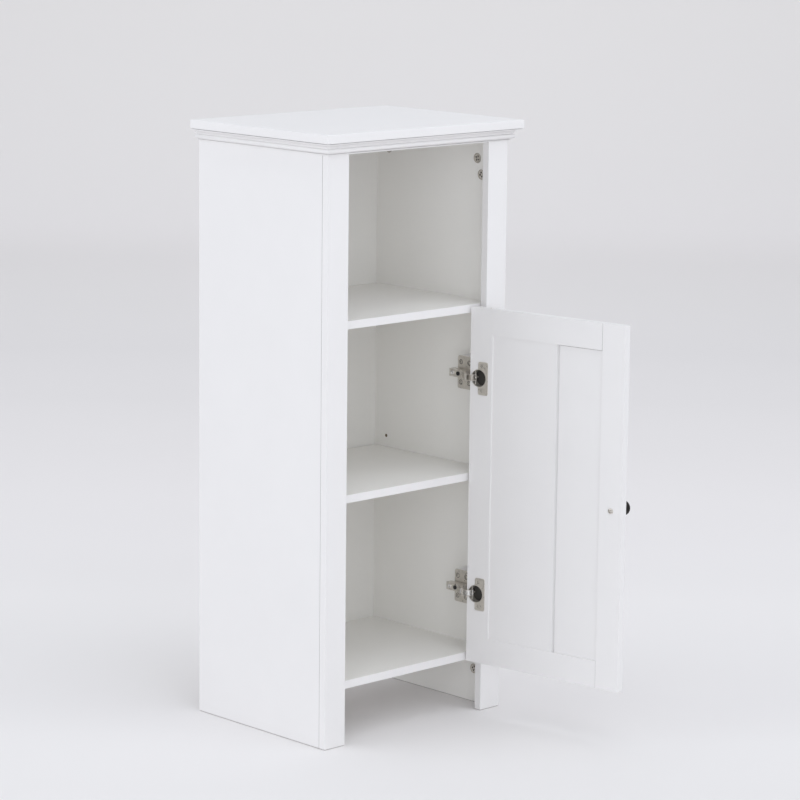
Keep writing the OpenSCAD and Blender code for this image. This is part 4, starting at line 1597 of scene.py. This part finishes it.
        # The rear arm screw gets nickel painted lighter as a painted highlight; the front one is black
        arms = [self.screws("arm_screws", [at(arm_x, y, z) for z in zs], left, seed, finish, **pan)
                for y, seed, finish in zip(self.arm_screw_ys, (2, 7), (self.finishes.bright, black))]
        settle("arm_screw_set", joined("arm_screw_set", arms), fixed, "arm_screws")
        cups = [DOOR.place(self.cup_x - self.cup_screw_dx, self.flange_y, z + dz)
                for z in zs for dz in (-self.cup_screw_dz, self.cup_screw_dz)]
        settle("cup_screw_set", self.screws(
            "cup_screw_set", cups, DOOR.way(0.0, 1.0, 0.0), 8, nickel, Head_radius=3.1, Head_height=1.0, Dome=0.3,
            Taper=1.0, Shank_radius=1.6, Shank_length=9.5, Recess_length=4.0, Recess_width=1.1, Recess_depth=0.9),
            door, "cup_screws")
        arm_pins = [at(x, y, z) for z in zs for x, y in self.arm_pivots]
        settle("arm_pin_set", self.pins("arm_pin_set", arm_pins, self.arm_pin_long), fixed, "arm_pins")
        cup_pins = [DOOR.place(*DOOR.cup_pivot, z) for z in zs]
        settle("cup_pin_set", self.pins("cup_pin_set", cup_pins, self.cup_pin_long), door, "cup_pins")


@dataclass
class Studio:
    """Pale floor and sweep, soft lamps and the camera."""

    camera_at: tuple[float, float, float] = (-3.1923, -3.2976, 1.3379)
    yaw: float = 43.75
    pitch: float = 10.371
    roll: float = -0.624
    lens: float = 143.11
    floor_near: float = -7.0
    floor_far: float = 5.2
    floor_steps: int = 40
    half_width: float = 9.0
    sweep: float = 1.6
    wall: float = 4.0
    # Colour of the paper along its run in metres; its lighter and darker bands are painted light and shade
    tones: tuple[tuple[float, tuple[float, float, float]], ...] = (
        (-4.6, (0.869, 0.848, 0.838)), (-0.32, (0.869, 0.848, 0.838)), (-0.07, (0.903, 0.881, 0.872)),
        (0.14, (0.901, 0.878, 0.872)), (0.44, (0.92, 0.898, 0.89)), (0.78, (0.95, 0.925, 0.915)),
        (1.17, (0.945, 0.917, 0.91)), (1.61, (0.908, 0.879, 0.872)), (2.12, (0.835, 0.808, 0.801)),
        (2.71, (0.772, 0.748, 0.742)), (3.42, (0.751, 0.729, 0.724)), (4.28, (0.797, 0.774, 0.765)),
        (5.58, (0.869, 0.842, 0.834)), (6.8, (0.852, 0.824, 0.802)))
    room: float = 0.56
    lamp_aim: tuple[float, float, float] = (0.0, 0.1, 0.45)
    lamp_far: float = 3.8
    lamp_size: float = 3.2
    lamp_color: tuple[float, float, float] = (0.957, 0.99, 1.045)
    lamps: tuple[tuple[str, float, float, float], ...] = (
        ("front_high_softbox", 0.0, 50.0, 29.0), ("camera_softbox", 45.0, 5.0, 37.0),
        ("left_softbox", 115.0, 20.0, 30.0), ("right_softbox", -45.0, 20.0, 14.0),
        ("overhead_softbox", 0.0, 90.0, 26.0))
    wall_lamps: tuple[tuple[str, float, float, float], ...] = (
        ("left_wall_softbox", -1.6, 2.9, 26.0), ("right_wall_softbox", 1.6, 2.9, 26.0))
    # How far behind the cabinet the wall's lamps hang, how much further they aim and how high
    wall_lamp_back: float = 2.9
    wall_lamp_reach: float = 3.6
    wall_lamp_aim_z: float = 0.5

    def ways(self) -> tuple[Vector, Vector]:
        """Give the level directions ahead of the camera and to its right."""
        yaw = math.radians(self.yaw)
        return Vector((math.sin(yaw), math.cos(yaw), 0.0)), Vector((math.cos(yaw), -math.sin(yaw), 0.0))

    def camera(self) -> None:
        """Set the camera where the photograph was taken from."""
        yaw, pitch, roll = (math.radians(v) for v in (self.yaw, self.pitch, self.roll))
        ahead = Vector((math.sin(yaw) * math.cos(pitch), math.cos(yaw) * math.cos(pitch), -math.sin(pitch)))
        right = self.ways()[1]
        down = ahead.cross(right)
        side = right * math.cos(roll) + down * math.sin(roll)
        below = -right * math.sin(roll) + down * math.cos(roll)
        turn = Matrix((side, -below, -ahead)).transposed().to_4x4()
        data = bpy.data.cameras.new("camera")
        data.lens = self.lens
        data.sensor_width = 36.0
        data.clip_start = 0.05
        data.clip_end = 60.0
        holder = bpy.data.objects.new("camera", data)
        x, y, z = self.camera_at
        holder.matrix_world = Matrix.Translation((x, y + FRONT_Y, z)) @ turn
        bpy.context.scene.collection.objects.link(holder)
        bpy.context.scene.camera = holder

    def backdrop(self) -> None:
        """Make the floor and the sweep behind it as one sheet across the view."""
        floor = self.floor_far - self.floor_near
        steps = [self.floor_near + floor * i / self.floor_steps for i in range(self.floor_steps + 1)]
        line = [(s, 0.0) for s in steps]
        line += [(self.floor_far + self.sweep * math.sin(math.radians(a)), self.sweep * (1 - math.cos(math.radians(a))))
                 for a in range(5, 91, 5)]
        line.append((self.floor_far + self.sweep, self.sweep + self.wall))
        ahead, right = self.ways()
        work = bmesh.new()
        rows = []
        for s, z in line:
            rows.append([work.verts.new(ahead * s + right * w + Vector((0, 0, z)))
                         for w in (-self.half_width, self.half_width)])
        for low, high in zip(rows, rows[1:]):
            work.faces.new((low[0], low[1], high[1], high[0])).smooth = True
        mesh = bpy.data.meshes.new("studio_sweep")
        bmesh.ops.recalc_face_normals(work, faces=work.faces)
        work.to_mesh(mesh)
        work.free()
        sweep = bpy.data.objects.new("studio_sweep", mesh)
        mesh.materials.append(self.paper())
        bpy.context.scene.collection.objects.link(sweep)

    def paper(self) -> Material:
        """Build the matt paper of the floor and sweep, with light and shade painted along its run.

        Returns:
            The material.
        """
        material = bpy.data.materials.new("studio_paper_painted_light")
        material.use_nodes = True
        tree = material.node_tree
        shader = tree.nodes["Principled BSDF"]
        shader.inputs["Roughness"].default_value = 0.9
        shader.inputs["Specular IOR Level"].default_value = 0.1
        coords = tree.nodes.new("ShaderNodeTexCoord").outputs["Object"]
        along = tree.nodes.new("ShaderNodeVectorMath")
        along.operation = "DOT_PRODUCT"
        along.inputs[1].default_value = self.ways()[0]
        tree.links.new(coords, along.inputs[0])
        first, last = self.tones[0][0], self.tones[-1][0]
        run = range_node(tree, along.outputs["Value"], first, last)
        ramp = tree.nodes.new("ShaderNodeValToRGB").color_ramp
        stops = [ramp.elements[0]] + [ramp.elements.new((s - first) / (last - first)) for s, _ in self.tones[1:-1]]
        for stop, (_, color) in zip(stops + [ramp.elements[-1]], self.tones):
            stop.color = color + (1.0,)
        tree.links.new(run, tree.nodes["Color Ramp"].inputs[0])
        grain = noise_node(tree, coords, 1.5, 3.0)
        tone = mix_color(tree, grain, (0.99, 0.99, 0.99, 1.0), (1.0, 1.0, 1.0, 1.0))
        both = tree.nodes.new("ShaderNodeVectorMath")
        both.operation = "MULTIPLY"
        tree.links.new(tree.nodes["Color Ramp"].outputs[0], both.inputs[0])
        tree.links.new(tone, both.inputs[1])
        tree.links.new(both.outputs[0], shader.inputs["Base Color"])
        return material

    def lamp(self, name: str, around: float, above: float, power: float) -> None:
        """Add one soft box that faces the cabinet.

        Args:
            name: The lamp's name.
            around: Its angle to the left of the front, in degrees.
            above: Its angle above the floor, in degrees.
            power: Its power in watts.
        """
        a, e = math.radians(around), math.radians(above)
        out = Vector((-math.sin(a) * math.cos(e), -math.cos(a) * math.cos(e), math.sin(e)))
        self.hang(name, Vector(self.lamp_aim) + out * self.lamp_far, -out, power)

    def hang(self, name: str, place: Vector, way: Vector, power: float) -> None:
        """Hang a soft box.

        Args:
            name: The lamp's name.
            place: Where it hangs.
            way: The way it faces.
            power: Its power in watts.
        """
        data = bpy.data.lights.new(name, "AREA")
        data.shape = "SQUARE"
        data.size = self.lamp_size
        data.energy = power
        data.color = self.lamp_color
        holder = bpy.data.objects.new(name, data)
        holder.matrix_world = Matrix.Translation(place) @ way.to_track_quat("-Z", "Y").to_matrix().to_4x4()
        bpy.context.scene.collection.objects.link(holder)

    def light(self) -> None:
        """Light the cabinet softly from all round, a little stronger from the left."""
        world = bpy.data.worlds.new("soft_room")
        world.use_nodes = True
        world.node_tree.nodes["Background"].inputs["Color"].default_value = self.lamp_color + (1.0,)
        world.node_tree.nodes["Background"].inputs["Strength"].default_value = self.room
        bpy.context.scene.world = world
        for name, around, above, power in self.lamps:
            self.lamp(name, around, above, power)
        ahead, right = self.ways()
        for name, across, height, power in self.wall_lamps:
            place = ahead * self.wall_lamp_back + right * across + Vector((0.0, 0.0, height))
            down = Vector((0.0, 0.0, height - self.wall_lamp_aim_z))
            self.hang(name, place, ahead * self.wall_lamp_reach - down, power)

    def build(self) -> None:
        """Make the whole studio."""
        self.camera()
        self.backdrop()
        self.light()
        bpy.context.scene.view_settings.view_transform = "Standard"


@dataclass
class Cabinet:
    """The whole cabinet, built piece by piece."""

    finishes: Finishes = field(default_factory=Finishes)

    def build(self) -> None:
        """Build every sub-assembly in order."""
        for part in (Carcass, Crown, Fittings, Door, Knob, Hinges):
            part(self.finishes).build()


def main() -> None:
    """Build the studio and the cabinet."""
    Studio().build()
    Cabinet().build()


if __name__ == "__main__":
    main()
